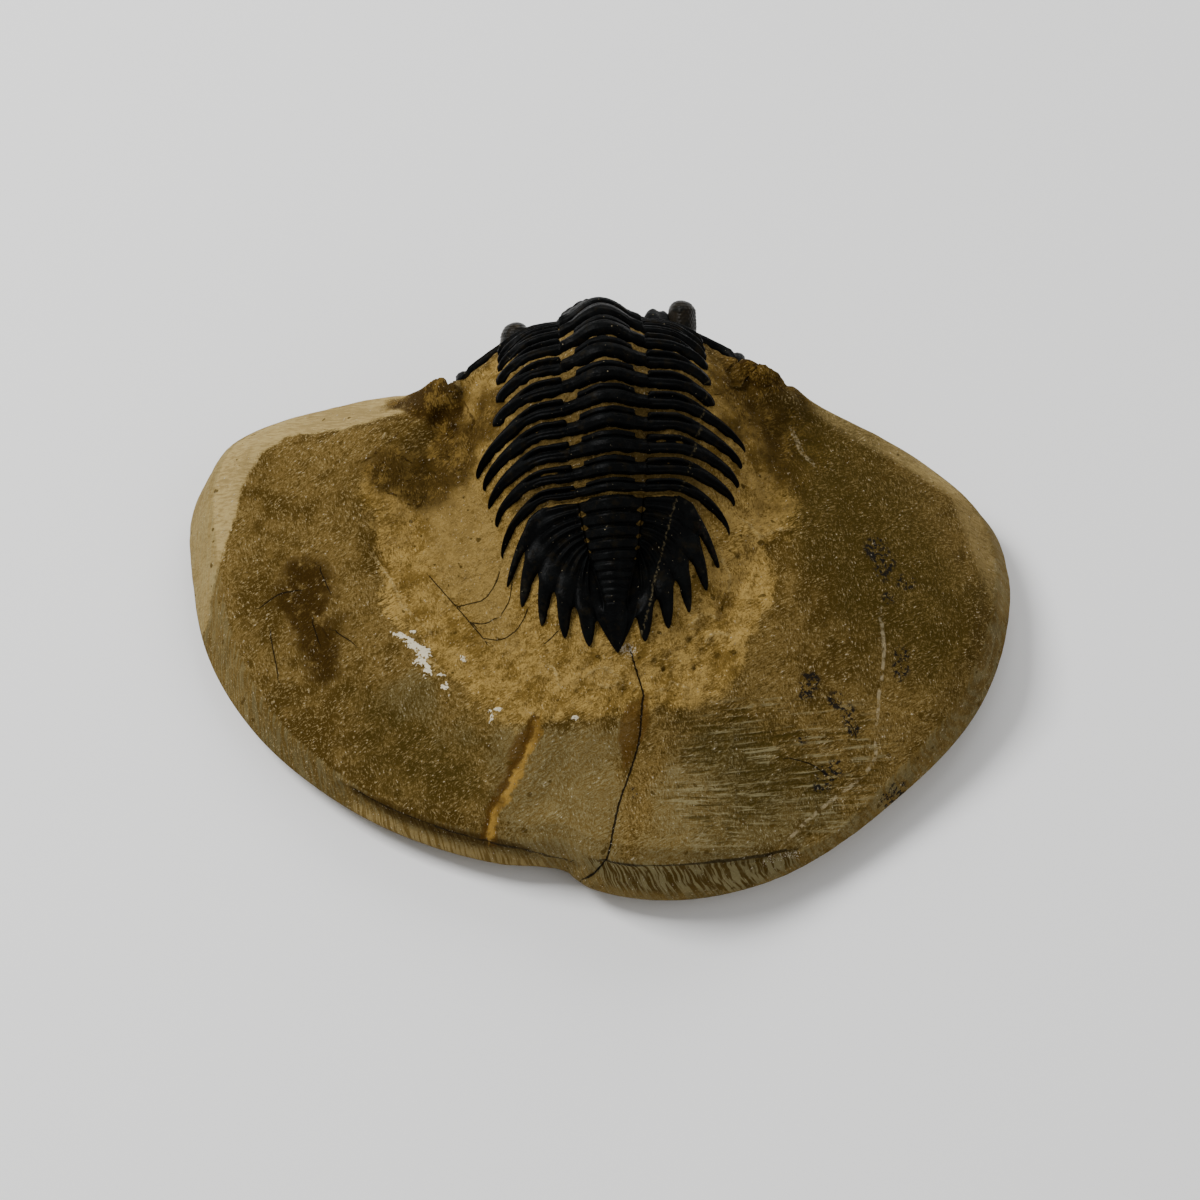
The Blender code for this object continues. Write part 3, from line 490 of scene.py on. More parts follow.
def stone_height(x, y):
    """The top of the stone: ground faces, the bowl round the tail, and the hump under the fossil."""
    top = smooth_min(ground_top(x, y), back_fall(x, y), BACK_BLEND)
    top = smooth_max(top, FOOT_Z, FOOT_BLEND)
    for lump in LUMPS:
        top += knob(x, y, *lump)
    w, v = body_place(x, y)
    bed = bed_height(w, v) - BED_DROP * smooth_step(*BED_REACH, np.abs(w))
    outside = beside_body(x, y)
    near_body = smooth_max(bed + (top - bed) * outside - FOOTPRINT_SINK * (1 - outside), bed, BED_BLEND)
    return np.maximum(near_body, FOOT_Z)


def line_distance(x, y, line):
    """The signed distance to an open line of plan points, and the plain distance."""
    signed = np.full(x.shape, FAR)
    plain = np.full(x.shape, FAR)
    for (x0, y0), (x1, y1) in zip(line[:-1], line[1:]):
        length = math.hypot(x1 - x0, y1 - y0)
        dx, dy = (x1 - x0) / length, (y1 - y0) / length
        t = np.clip((x - x0) * dx + (y - y0) * dy, 0, length)
        away = np.hypot(x - x0 - t * dx, y - y0 - t * dy)
        side = (x - x0) * dy - (y - y0) * dx
        nearer = away < plain
        plain = np.where(nearer, away, plain)
        signed = np.where(nearer, np.where(side < 0, -away, away), signed)
    return signed, plain


def inside_distance(x, y, ring):
    """How far inside a closed line of plan points a place is, negative outside."""
    closed = np.concatenate([ring, ring[:1]])
    _, plain = line_distance(x, y, closed)
    crossings = np.zeros(x.shape, int)
    for (x0, y0), (x1, y1) in zip(closed[:-1], closed[1:]):
        spans = (y0 > y) != (y1 > y)
        with np.errstate(divide="ignore", invalid="ignore"):
            cross = x0 + (y - y0) / (y1 - y0) * (x1 - x0)
        crossings += spans & (x < cross)
    return np.where(crossings % 2 == 1, plain, -plain)


def rounded_line(points, steps=8):
    """A smooth line through a few points."""
    points = np.array(points, float)
    if len(points) < 3:
        return points
    padded = np.concatenate([[2 * points[0] - points[1]], points, [2 * points[-1] - points[-2]]])
    t = np.linspace(0, 1, steps, endpoint=False)[:, None]
    rows = []
    for a, b, c, d in zip(padded[:-3], padded[1:-2], padded[2:-1], padded[3:]):
        rows.append(0.5 * (2 * b + (c - a) * t + (2 * a - 5 * b + 4 * c - d) * t**2
                           + (3 * b - a - 3 * c + d) * t**3))
    return np.concatenate([*rows, points[-1:]])


# Marks on the stone, in the photograph's pixels.
DISH = (
    (372, 470), (362, 500), (356, 530), (378, 562), (398, 604), (424, 652), (470, 700), (500, 716),
    (540, 722), (592, 718), (636, 702), (682, 696), (716, 688), (732, 664), (758, 612), (772, 566),
    (792, 500), (800, 450), (785, 395), (725, 362), (690, 340), (500, 345), (462, 392), (440, 432),
    (420, 452),
)
PALE_FLOOR = ((425, 505), (470, 480), (505, 520), (520, 590), (515, 640), (480, 640), (440, 590))
LEFT_BEVEL = (
    (460, 396), (412, 412), (335, 431), (283, 437), (262, 455), (240, 492), (226, 540), (214, 575),
    (206, 610), (196, 640), (150, 640), (150, 420), (300, 360), (455, 372),
)
RIGHT_BEVEL = (
    (950, 497), (964, 530), (976, 563), (989, 588), (1001, 615), (1040, 620), (1040, 520), (960, 440),
)
BACK_BEVEL = ((788, 391), (836, 427), (869, 446), (907, 468), (952, 498), (990, 500), (900, 410), (800, 370))
GREY_FACES = (
    ((500, 735), (560, 725), (625, 730), (630, 800), (600, 862), (540, 866), (500, 845), (488, 790)),
    ((650, 770), (740, 745), (800, 770), (830, 820), (790, 862), (700, 866), (650, 862), (640, 820)),
    ((404, 670), (440, 700), (470, 740), (440, 760), (400, 720), (390, 690)),
)
ROUGH_ZONES = (
    ((398, 408), (412, 392), (436, 380), (450, 384), (456, 398), (448, 432), (432, 442), (412, 424)),
    ((738, 352), (766, 358), (800, 386), (796, 400), (772, 404), (748, 388)),
)
LIGHT_PATCHES = (
    ((358, 524), (378, 518), (400, 540), (402, 565), (388, 560), (372, 548)),
    ((375, 590), (392, 588), (402, 622), (428, 650), (438, 668), (420, 662), (398, 632)),
    ((722, 500), (760, 500), (778, 520), (762, 560), (744, 590), (724, 570), (716, 530)),
)
STAINS = (
    ((262, 604), (284, 584), (308, 580), (330, 598), (340, 636), (330, 656), (304, 648), (284, 644),
     (268, 624)),
    ((284, 556), (304, 560), (322, 584), (300, 590)),
)
RUST_PATCHES = (
    ((628, 704), (646, 696), (642, 740), (630, 772), (618, 776), (620, 740)),
    ((530, 722), (536, 728), (518, 760), (500, 790), (492, 800), (500, 776), (516, 748)),
    ((484, 806), (496, 808), (500, 824), (494, 850), (486, 848), (480, 826)),
)
# Places on the stone painted darker as shade, in the torn rock's colours; the torn relief rises there too.
SHADES = (
    ((712, 352), (745, 352), (790, 388), (812, 440), (804, 492), (776, 496), (754, 452), (730, 425),
     (714, 396)),
    ((425, 440), (456, 412), (478, 400), (488, 418), (476, 450), (464, 480), (446, 506), (424, 498),
     (402, 464)),
    ((430, 404), (450, 392), (460, 404), (462, 424), (448, 440), (430, 430)),
    ((464, 396), (484, 380), (500, 386), (500, 414), (484, 440), (464, 440)),
    ((362, 468), (384, 454), (412, 456), (426, 474), (430, 496), (416, 504), (396, 492), (372, 482)),
    ((736, 350), (768, 358), (802, 388), (796, 404), (764, 404), (742, 388)),
    ((398, 408), (412, 388), (436, 378), (450, 382), (456, 398), (440, 420), (412, 424)),
)
# Patches painted darker as shade: the right upper face and two on the lower front.
SHADED_PATCHES = (
    ((790, 400), (870, 440), (955, 520), (992, 600), (940, 700), (860, 660), (815, 590), (790, 500)),
    ((370, 700), (430, 690), (478, 735), (488, 800), (430, 800), (370, 760)),
    ((700, 740), (790, 740), (830, 790), (790, 840), (720, 830)),
)
# A painted shadow under the lower ledge: a narrow band hatched in dark browns.
LEDGE_SHADOW = (
    (345, 783), (400, 807), (440, 823), (500, 839), (530, 849), (530, 858), (480, 850), (430, 837),
    (395, 822), (350, 796),
)
STRIP = (
    (345, 799), (372, 815), (400, 828), (440, 843), (500, 857), (545, 866), (548, 880), (480, 874),
    (420, 862), (360, 835),
)
HATCHED = (
    (585, 862), (640, 868), (700, 866), (752, 860), (792, 852), (800, 866), (745, 889), (660, 893),
    (606, 884),
)
CHALK = (
    ((762, 862), (770, 853), (786, 850), (800, 851), (804, 858), (786, 866), (768, 870)),
    ((614, 641), (628, 641), (637, 648), (628, 655), (618, 651)),
)
# Ridges in the rock: raised lines painted paler, as pale fibres and a painted highlight on their crests.
RIDGES = (
    ((588, 674), (596, 668), (610, 670), (620, 679)),
    ((596, 684), (608, 687), (618, 683)),
    ((692, 624), (702, 614), (713, 617)),
    ((742, 520), (751, 527), (757, 535)),
    ((757, 539), (772, 532), (792, 528)),
    ((660, 690), (672, 684), (686, 688)),
    ((722, 560), (729, 574), (730, 592)),
    ((706, 641), (716, 633), (728, 635)),
    ((548, 664), (556, 672), (560, 684)),
    ((376, 560), (392, 584), (404, 612)),
    ((398, 596), (414, 618), (430, 632)),
    ((408, 640), (424, 658), (440, 668)),
)
# Creases in the rock: shallow dents with painted shade along them.
CREASES = (
    ((364, 469), (371, 474), (376, 472), (384, 460), (394, 456), (404, 457), (410, 462)),
    ((356, 468), (378, 450), (400, 431), (423, 410)),
    ((434, 440), (444, 447), (447, 462)),
    ((372, 482), (386, 490), (402, 500), (418, 508)),
    ((408, 494), (415, 503), (418, 508), (424, 498)),
    ((424, 412), (436, 424), (440, 436)),
    ((446, 392), (452, 408), (466, 420)),
    ((462, 400), (470, 416), (468, 432)),
    ((744, 366), (756, 374), (772, 378), (786, 388)),
    ((752, 384), (764, 392), (770, 404)),
    ((728, 372), (736, 384), (738, 398)),
)
# Pits in the bowl, dents with painted shade in them: (pixel x, pixel y, radius in pixels).
PITS = (
    (655, 660, 4), (664, 669, 3), (641, 677, 3), (690, 640, 4), (701, 600, 3), (738, 556, 3), (547, 652, 3),
    (577, 690, 3), (694, 668, 3), (718, 655, 4), (610, 700, 2), (519, 690, 3), (485, 668, 2), (447, 604, 2),
)
RIDGE_SCRATCH = ((794, 432), (800, 446), (806, 456), (812, 462))
ORANGE_VEIN = ((538, 722), (532, 742), (520, 768), (508, 792), (494, 812), (489, 838))
SCRATCHED = (
    (660, 800), (690, 750), (740, 715), (830, 705), (885, 730), (885, 780), (830, 830), (740, 850),
    (680, 838),
)
MAIN_CRACK = (
    (630, 648), (634, 662), (643, 692), (642, 706), (639, 742), (628, 778), (618, 806), (612, 836),
    (606, 860), (596, 874), (584, 880),
)
HAIRLINES = (
    ((430, 577), (445, 594), (466, 618), (487, 643)),
    ((457, 605), (471, 604), (483, 600), (492, 590), (497, 580), (499, 573)),
    ((468, 622), (483, 624), (497, 618)),
    ((502, 614), (509, 601), (512, 584)),
    ((484, 639), (500, 640), (514, 633), (523, 620), (528, 610)),
    ((544, 644), (552, 638), (558, 631)),
)
SMALL_CRACKS = (
    ((270, 634), (273, 650), (278, 676)),
    ((312, 622), (318, 640)),
    ((336, 632), (352, 642)),
    ((262, 606), (280, 594), (300, 590)),
    ((320, 570), (328, 588)),
    ((788, 758), (810, 764), (828, 776)),
    ((846, 720), (852, 727), (856, 737)),
)
PALE_VEIN = (
    (880, 610), (884, 650), (880, 690), (876, 730), (874, 760), (858, 780), (832, 800), (806, 822),
    (786, 842),
)
# The ledges' edges: a step down in the stone, with a painted black shadow along it.
LEDGE = (
    (352, 790), (376, 803), (402, 815), (440, 830), (480, 842), (530, 854), (566, 862),
)
RIGHT_LEDGE = ((600, 862), (640, 868), (680, 866), (720, 862), (752, 858), (786, 850))
# Dark mineral specks: (pixel x, pixel y, radius in pixels).
DENDRITES = (
    (876, 548, 12), (884, 562, 12), (884, 574, 8), (906, 582, 9), (888, 598, 6), (810, 682, 11),
    (806, 694, 8), (836, 700, 9), (846, 712, 9), (852, 728, 8), (902, 654, 8), (901, 668, 9), (900, 676, 6),
    (826, 776, 12), (822, 786, 9), (836, 768, 9), (634, 792, 5), (802, 738, 6), (900, 790, 9), (888, 800, 8),
)
# Pale flakes: (pixel x, pixel y, long radius, short radius, turn in degrees).
FLAKES = (
    (401, 636, 10, 2.5, 22), (413, 645, 9, 4, 38), (424, 653, 8, 6, 60), (420, 662, 7, 3, 20),
    (427, 669, 3.5, 8, -10), (441, 676, 2, 4, -20), (445, 686, 3, 4.5, -35), (464, 660, 2, 5, -35),
    (414, 632, 4, 2, 0), (496, 710, 7, 1.5, -8), (492, 718, 1.5, 6, 12), (574, 718, 5, 1.2, 0),
)
REPAIR_LINE = (
    (714, 352), (712, 368), (706, 400), (700, 430), (688, 470), (676, 500), (666, 540), (650, 600),
    (640, 645),
)


# The regions by the name of their mask: (regions, how soft their edge is, and how ragged), in mm.
ZONES = {
    "ochre": ((DISH,), 2.0, 1.6),
    "pale_floor": ((PALE_FLOOR,), 3.0, 1.5),
    "left_bevel": ((LEFT_BEVEL,), 1.0, 0.5),
    "right_bevel": ((RIGHT_BEVEL,), 0.4, 0.2),
    "back_bevel": ((BACK_BEVEL,), 0.4, 0.2),
    "grey": (GREY_FACES, 3.0, 2.0),
    "broken": (ROUGH_ZONES, 1.2, 1.4),
    "shade": (SHADES, 2.0, 2.0),
    "painted_shade": (SHADED_PATCHES, 4.5, 2.0),
    # The painted shadow under the lower ledge.
    "band": ((LEDGE_SHADOW,), 0.25, 0.15),
    "strip": ((STRIP,), 0.3, 0.2),
    "hatched": ((HATCHED,), 0.3, 0.3),
    "chalk": (CHALK, 0.6, 0.6),
    "light_patch": (LIGHT_PATCHES, 0.7, 1.2),
    "stain": (STAINS, 2.2, 2.2),
    "rust": (RUST_PATCHES, 0.7, 0.7),
    "scratched": ((SCRATCHED,), 3.0, 2.0),
}
SPOTS = {"dendrite": DENDRITES, "flake": FLAKES, "pit": PITS}
LINES = {
    "crack": (MAIN_CRACK,),
    "hairline": HAIRLINES + SMALL_CRACKS,
    "vein": (PALE_VEIN,),
    "ledge": (LEDGE, RIGHT_LEDGE),
    "orange": (ORANGE_VEIN,),
    "scratch": (RIDGE_SCRATCH,),
    "ridge": RIDGES,
    "crease": CREASES,
}


def outline_radius(angle):
    """The outline's distance from the middle in each direction, by a smooth closed curve."""
    points = np.array(STONE_OUTLINE)
    turn = np.unwrap(np.arctan2(points[:, 1], points[:, 0]))
    reach = np.hypot(points[:, 0], points[:, 1])
    order = np.argsort(turn)
    turn, reach = turn[order], reach[order]
    turn = np.concatenate([turn[-2:] - 2 * np.pi, turn, turn[:2] + 2 * np.pi])
    reach = np.concatenate([reach[-2:], reach, reach[:2]])
    slope = (reach[2:] - reach[:-2]) / (turn[2:] - turn[:-2])
    turn, reach = turn[1:-1], reach[1:-1]
    angle = (angle - turn[0]) % (2 * np.pi) + turn[0]
    k = np.clip(np.searchsorted(turn, angle, side="right") - 1, 0, len(turn) - 2)
    width = turn[k + 1] - turn[k]
    t = (angle - turn[k]) / width
    return (
        (2 * t**3 - 3 * t**2 + 1) * reach[k]
        + (t**3 - 2 * t**2 + t) * width * slope[k]
        + (3 * t**2 - 2 * t**3) * reach[k + 1]
        + (t**3 - t**2) * width * slope[k + 1]
    )


def edge_insets(angle):
    degrees = np.degrees(angle) % 360
    around, wall, rim = zip(*(EDGE_INSETS + ((360, *EDGE_INSETS[0][1:]),)))
    return np.interp(degrees, around, wall), np.interp(degrees, around, rim)


def top_rings(angle, rim_radius, count):
    """Radii of the top's rings, evenly spaced along the surface and twice as close near the body."""
    share = np.linspace(1, 0, 401)[:, None]
    r = rim_radius * share
    z = stone_height(r * np.cos(angle), r * np.sin(angle))
    weight = 1 + FINER * (1 - smooth_step(*FINER_WITHIN, (r[1:] + r[:-1]) / 2))
    steps = np.hypot(np.diff(r, axis=0), np.diff(z, axis=0)) * weight
    length = np.concatenate([np.zeros((1, len(angle))), np.cumsum(steps, 0)])
    rings = np.empty((count, len(angle)))
    for k in range(len(angle)):
        at = np.linspace(0, length[-1, k], count + 1)[:-1]
        rings[:, k] = np.interp(at, length[:, k], r[:, k])
    return rings


# The stone's side as shares of the way from the base's edge (0) by the widest level and the wall's top to
# the rim (3).
SIDE_STEPS = np.concatenate([[0], np.linspace(0.04, 1, 7), np.linspace(1.1, 3, 16)])


def side_curve(corners):
    """The rows of the stone's side between four corner rows, with their corners softened."""
    rows = np.stack([np.interp(SIDE_STEPS, range(4), corner) for corner in np.transpose(corners)], 1)
    rows[2:-1] = 0.25 * rows[1:-2] + 0.5 * rows[2:-1] + 0.25 * rows[3:]
    return rows


def stone_grid():
    """The stone's surface as rings of points, from the base's edge out, up and in to the middle."""
    angle = np.arange(STONE_SECTORS) * 2 * np.pi / STONE_SECTORS
    cos, sin = np.cos(angle), np.sin(angle)
    outline = outline_radius(angle)
    wall, rim = edge_insets(angle)
    rim_radius = outline - rim
    rim_z = stone_height(rim_radius * cos, rim_radius * sin)
    wall_z = WIDEST_Z + WALL_SHARE * (rim_z - WIDEST_Z)
    rings = top_rings(angle, rim_radius, STONE_RINGS)[1:]
    side_r = side_curve([outline - BASE_INSET, outline, outline - wall, rim_radius])
    side_z = side_curve([0 * angle, WIDEST_Z + 0 * angle, wall_z, rim_z])
    r = np.concatenate([side_r, rings])
    z = np.concatenate([side_z, stone_height(rings * cos, rings * sin)])
    return np.stack([r * cos, r * sin, z], -1)


def ring_normals(points):
    """Outward normals of a closed band of rings."""
    forward = np.roll(points, -1, 1) - np.roll(points, 1, 1)
    up = np.gradient(points, axis=0)
    return unit(np.cross(forward, up))


def zone(seen, regions, edge, wobble=0.0):
    """1 inside regions of the photograph, 0 outside, with an edge that wide in mm."""
    inside = [inside_distance(seen[..., 0], seen[..., 1], np.array(pixels) / PER_MM) for pixels in regions]
    return smooth_step(-edge, edge, np.max(inside, 0) + wobble)


def line_masks(seen, lines):
    """The signed distance to the nearest of several lines, and the plain distance."""
    signed = np.full(seen.shape[:-1], FAR)
    plain = signed.copy()
    for pixels in lines:
        line = rounded_line(pixels, 5) / PER_MM
        one_signed, one_plain = line_distance(seen[..., 0], seen[..., 1], line)
        nearer = one_plain < plain
        signed, plain = np.where(nearer, one_signed, signed), np.where(nearer, one_plain, plain)
    return signed, plain


def spots(seen, marks):
    """Round marks, from 1 in the middle of each to 0 past its edge."""
    total = np.zeros(seen.shape[:-1])
    for px, py, *sizes in marks:
        long, short, turn = sizes if len(sizes) == 3 else (*sizes, *sizes, 0.0)
        cos, sin = math.cos(math.radians(turn)), math.sin(math.radians(turn))
        dx, dy = seen[..., 0] * PER_MM - px, seen[..., 1] * PER_MM - py
        u, v = (cos * dx + sin * dy) / long, (cos * dy - sin * dx) / short
        total = np.maximum(total, np.clip(MARK_EDGE - np.hypot(u, v), 0, 1))
    return total


# How far the stone turns to the camera where marks start to show, and where a round mark ends, in radii.
FACING, MARK_EDGE = (0.0, 0.12), 1.3


def stone_marks(points, normals, wobble):
    """Every mask of the stone's colours, by name."""
    seen = pixels_of(points) / PER_MM
    facing = smooth_step(*FACING, -(normals @ view_axes()[1]))
    marks = {}
    for name, (regions, edge, ragged) in ZONES.items():
        marks[name] = zone(seen, regions, edge, ragged * wobble) * facing
    for name, places in SPOTS.items():
        marks[name] = spots(seen, places) * facing
    for name, lines in LINES.items():
        for key, distance in zip((name, name + "_near"), line_masks(seen, lines)):
            marks[key] = np.where(facing > 0.5, distance, FAR)
    return marks


def add(name, data):
    """A new object in the scene."""
    obj = bpy.data.objects.new(name, data)
    bpy.context.scene.collection.objects.link(obj)
    return obj


def make_mesh(name, points, faces, material, attributes):
    """A smooth mesh in metres with its masks, as a piece of the fossil's one body."""
    mesh = bpy.data.meshes.new(name)
    mesh.from_pydata((np.asarray(points) * MM).tolist(), [], faces)
    mesh.update()
    mesh.shade_smooth()
    mesh.materials.append(material)
    for key, values in attributes.items():
        layer = mesh.attributes.new(key, "FLOAT", "POINT")
        layer.data.foreach_set("value", np.asarray(values, np.float32).ravel())
    obj = add(name, mesh)
    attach(obj, "root")
    return obj


def quad_grid(rows, columns, closed=False, start=0):
    """Quads of a grid of points, row by row, which may close on itself sideways."""
    index = start + np.arange(rows * columns).reshape(rows, columns)
    if closed:
        index = np.concatenate([index, index[:, :1]], 1)
    quads = np.stack([index[:-1, :-1], index[:-1, 1:], index[1:, 1:], index[1:, :-1]], -1)
    return quads.reshape(-1, 4)


def closed_rings(rings, bottom, top):
    """Points and faces of rings of points, closed by a point under the first and one over the last."""
    rows, count = rings.shape[:2]
    faces = quad_grid(rows, count, closed=True).tolist()
    first, last = rows * count, (rows - 1) * count
    for k in range(count):
        n = (k + 1) % count
        faces += [(first, n, k), (last + k, last + n, first + 1)]
    return np.concatenate([rings.reshape(-1, 3), [bottom, top]]), faces


# Where the matrix between the plates ends at the sides, and where along the body it starts and grows lighter.
FILL_SIDES, FILL_START, FILL_LIGHTENS = (9.0, 11.5), (13, 16), (20.0, 36.0)
DEEPEST_PIT = -1.6
# How much the stone's side is worn, and between which rows before the rim its own look ends.
SIDE_WEAR, SIDE_ENDS = 0.12, (8, 5)


def broken_rock(x, y, normals, marks, away):
    """Where the rock is broken: on the steep beside the body, in the marked zones and behind."""
    w, v = body_place(x, y)
    steep = 1 - smooth_step(0.45, 0.8, normals[..., 2])
    near = np.exp(-np.maximum(np.abs(w) - along(FOOTPRINT, v), 0) / 5.0) * smooth_step(12, 22, v)
    cliff = np.clip(steep * near * 1.5, 0, 1) * away
    cliff = np.maximum(np.maximum(cliff, marks["broken"]), 0.45 * marks["shade"] * away)
    behind = steep * smooth_step(16, 24, y) * (1 - 0.9 * smooth_step(18, 22, np.abs(x)))
    ground = np.max([marks["left_bevel"], marks["right_bevel"], marks["back_bevel"]], 0)
    return np.maximum(cliff * (1 - ground), 0.8 * behind)


def rock_relief(points, marks, broken):
    """The stone's own relief in mm: waves and grain, the bowl's crumbs and pits, and broken rock."""
    wave = 0.10 * rough(points, 7.0, 2, 0.5, seed=8)
    fine = 0.035 * rough(points, 1.1, 2, 0.6, seed=5)
    crumbs = 0.26 * rough(points, 1.4, 3, 0.68, seed=26) * (1 - 0.6 * marks["pale_floor"])
    pits = -0.45 * np.clip(rough(points, 2.2, 3, 0.6, seed=21) - 0.3, 0, 1)
    torn = smooth_min(0.65 * rough(points * [1, 1, 0.7], 2.6, 4, 0.62, seed=14) - 0.25, 0.15, 0.15)
    return wave * (1 - 0.6 * marks["ochre"]) + fine + (crumbs + pits) * marks["ochre"] + broken * torn


def mark_reliefs(x, y, marks, wobble):
    """What each mark adds to the stone's relief, in mm."""
    ledge_end = 1 - smooth_step(1.2, 2.0, marks["ledge_near"])
    scratch = noise(flat_points(x / 9.0, (y + 0.12 * x) / 0.42), 1.0, seed=31)
    return (
        -0.22 * bump(marks["crack"], 0, 0.32) * (marks["crack_near"] < 2),
        0.14 * smooth_step(0.1, 0.5, marks["flake"]) - 0.3 * smooth_step(0.1, 0.9, marks["pit"]),
        -0.2 * bump(marks["crease"] + 0.3 * wobble, 0, 0.3) * (marks["crease_near"] < 2),
        0.26 * bump(marks["ridge"] + 0.2 * wobble, 0, 0.3) * (marks["ridge_near"] < 2),
        -0.4 * smooth_step(-0.05, 0.2, -marks["ledge"]) * ledge_end,
        -0.2 * bump(marks["orange"], -0.55, 0.35) + 0.12 * bump(marks["scratch"], 0.2, 0.3),
        0.11 * np.minimum(scratch, 0.2) * marks["scratched"],
    )


def build_stone(material):
    points = stone_grid()
    x, y = points[..., 0], points[..., 1]
    for cover in COVERS:
        points[..., 2] += knob(x, y, *cover)
    wobble = rough(points, 5.0, 4, 0.6, seed=3)
    normals = ring_normals(points)
    marks = stone_marks(points, normals, wobble)
    away = beside_body(x, y)
    broken = broken_rock(x, y, normals, marks, away)
    shift = sum(mark_reliefs(x, y, marks, wobble), rock_relief(points, marks, broken))
    w, v = body_place(x, y)
    under_body = (1 - away) * (1 - smooth_step(NECK, NECK + 1, v + 3))
    shift = shift * (1 - 0.4 * under_body) + under_body * 0.085 * rough(points, 1.1, 3, 0.7, seed=2)
    row, side_rows = np.arange(len(points))[:, None], len(SIDE_STEPS)
    shift = np.where(row < side_rows, np.minimum(shift, 0) - SIDE_WEAR, shift)
    shift = np.maximum(shift, DEEPEST_PIT)
    shift[0] = 0
    points = points + shift[..., None] * normals
    points[..., 2] = np.maximum(points[..., 2], 0)
    marks["side"] = 1 - smooth_step(*(side_rows - rows for rows in SIDE_ENDS), row) + 0 * x
    marks["fill"] = under_body * (1 - smooth_step(*FILL_SIDES, np.abs(w))) * smooth_step(*FILL_START, v)
    marks["rearward"] = 1 - smooth_step(*FILL_LIGHTENS, v)
    flat, faces = closed_rings(points, (0, 0, 0), (0, 0, points[-1, :, 2].mean()))
    masks = {key: np.append(values, (0, values[-1].mean())) for key, values in marks.items()}
    stone = make_mesh("stone", flat, faces, material, masks)
    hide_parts("matrix_stone")


def welded(points, faces, within=0.004):
    """One point where grids meet, and no face with a repeated corner twice."""
    _, first, index = np.unique(np.round(points / within), axis=0, return_index=True, return_inverse=True)
    faces = index.reshape(-1)[faces]
    kept = [tuple(dict.fromkeys(face)) for face in faces.tolist()]
    return first, [face for face in kept if len(face) > 2]


def open_edges(faces):
    """Edges that one face has and no other."""
    edges = {(a, b) for face in faces for a, b in zip(face, face[1:] + face[:1])}
    return sorted((a, b) for a, b in edges if (b, a) not in edges)


# A plate's masks where it has neither the repair line nor matrix in its pits.
PLAIN_MASKS = {"repair": lambda s, w, points: 9.0 + 0 * s, "patch": lambda s, w, points: 0 * s}


def plate(name, node, grids, material, under, **rules):
    """A closed plate: its top from grids of (s, w, h), and a plain underside at a height over the sheet.

    The rules give its masks from s, w and the points.
    """
    points, faces, places, start = [], [], [], 0
    for grid in grids:
        s, w, h = (column.reshape(-1) for column in np.moveaxis(grid, -1, 0))
        points.append(on_body(s, w, h))
        places.append(np.stack([s, w], -1))
        faces.append(quad_grid(*grid.shape[:2], start=start))
        start += len(s)
    points, places = np.concatenate(points), np.concatenate(places)
    first, faces = welded(points, np.concatenate(faces))
    points, places = points[first], places[first]
    s, w = places.T
    below = on_body(s, w, np.full_like(s, under))
    count = len(points)
    sides = [(a, b, b + count, a + count) for b, a in open_edges(faces)]
    bottom = [tuple(i + count for i in reversed(face)) for face in faces]
    masks = {key: np.tile(rule(s, w, points), 2) for key, rule in {**PLAIN_MASKS, **rules}.items()}
    obj = make_mesh(name, np.concatenate([points, below]), faces + sides + bottom, material, masks)
    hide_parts(node)


def sheet_places(pixels):
    """Where the photograph's pixels lie on the fossil, as (s, w)."""
    s, w = np.meshgrid(np.linspace(0, NECK, 441), np.linspace(-16, 16, 321), indexing="ij")
    seen = pixels_of(on_body(s, w, 0.6))
    found = []
    for pixel in pixels:
        nearest = np.argmin(np.hypot(*(seen - pixel).transpose(2, 0, 1)))
        found.append((s.flat[nearest], w.flat[nearest]))
    return np.array(found)


REPAIR_PLACES = rounded_line(sheet_places(REPAIR_LINE), 4)


def repair_distance(s, w, points):
    signed, plain = line_distance(s, w, REPAIR_PLACES)
    return np.where(plain < 3, signed, 9.0)


def curve(corners, t):
    """The points of a Bezier curve at each of the shares t."""
    t, last = t[:, None], len(corners) - 1
    weights = (math.comb(last, k) * (1 - t) ** (last - k) * t**k for k in range(last + 1))
    return sum(weight * np.array(corner) for weight, corner in zip(weights, corners))


def plate_path(u, tip, middle):
    """A thorax plate's middle line from the axis out to its tip: (w, s)."""
    fulcrum = float(along(FULCRUM, middle))
    out, back = tip
    before, past, outward, sweep = SIDE_BENDS
    start = fulcrum - before
    bends = ((fulcrum + past, 0), (fulcrum + outward * (out - fulcrum), sweep * back))
    side_w, side_s = curve([(start, 0), *bends, tip], np.clip(2 * u - 1, 0, 1)).T
    return np.where(u <= 0.5, 2 * u * start, side_w), middle - side_s


def plate_side(number, tip, stations):
    """One side of a thorax plate: centre line, width direction and half width at each station."""
    length = THORAX_LENGTHS[number]
    middle = JOINTS[number] + length / 2
    u = np.linspace(0, 1, stations)
    w, s = plate_path(u, tip, middle)
    along_w, along_s = np.gradient(w), np.gradient(s)
    size = np.hypot(along_w, along_s)
    across = np.stack([-along_s / size, along_w / size], -1)
    taper = BLADE_TAPER if number < FREE_SPINES else BLUNT_TAPER
    half = np.interp(u, TAPER_AT, taper) * (length - GAP) / 2
    return u, w, s, across, half


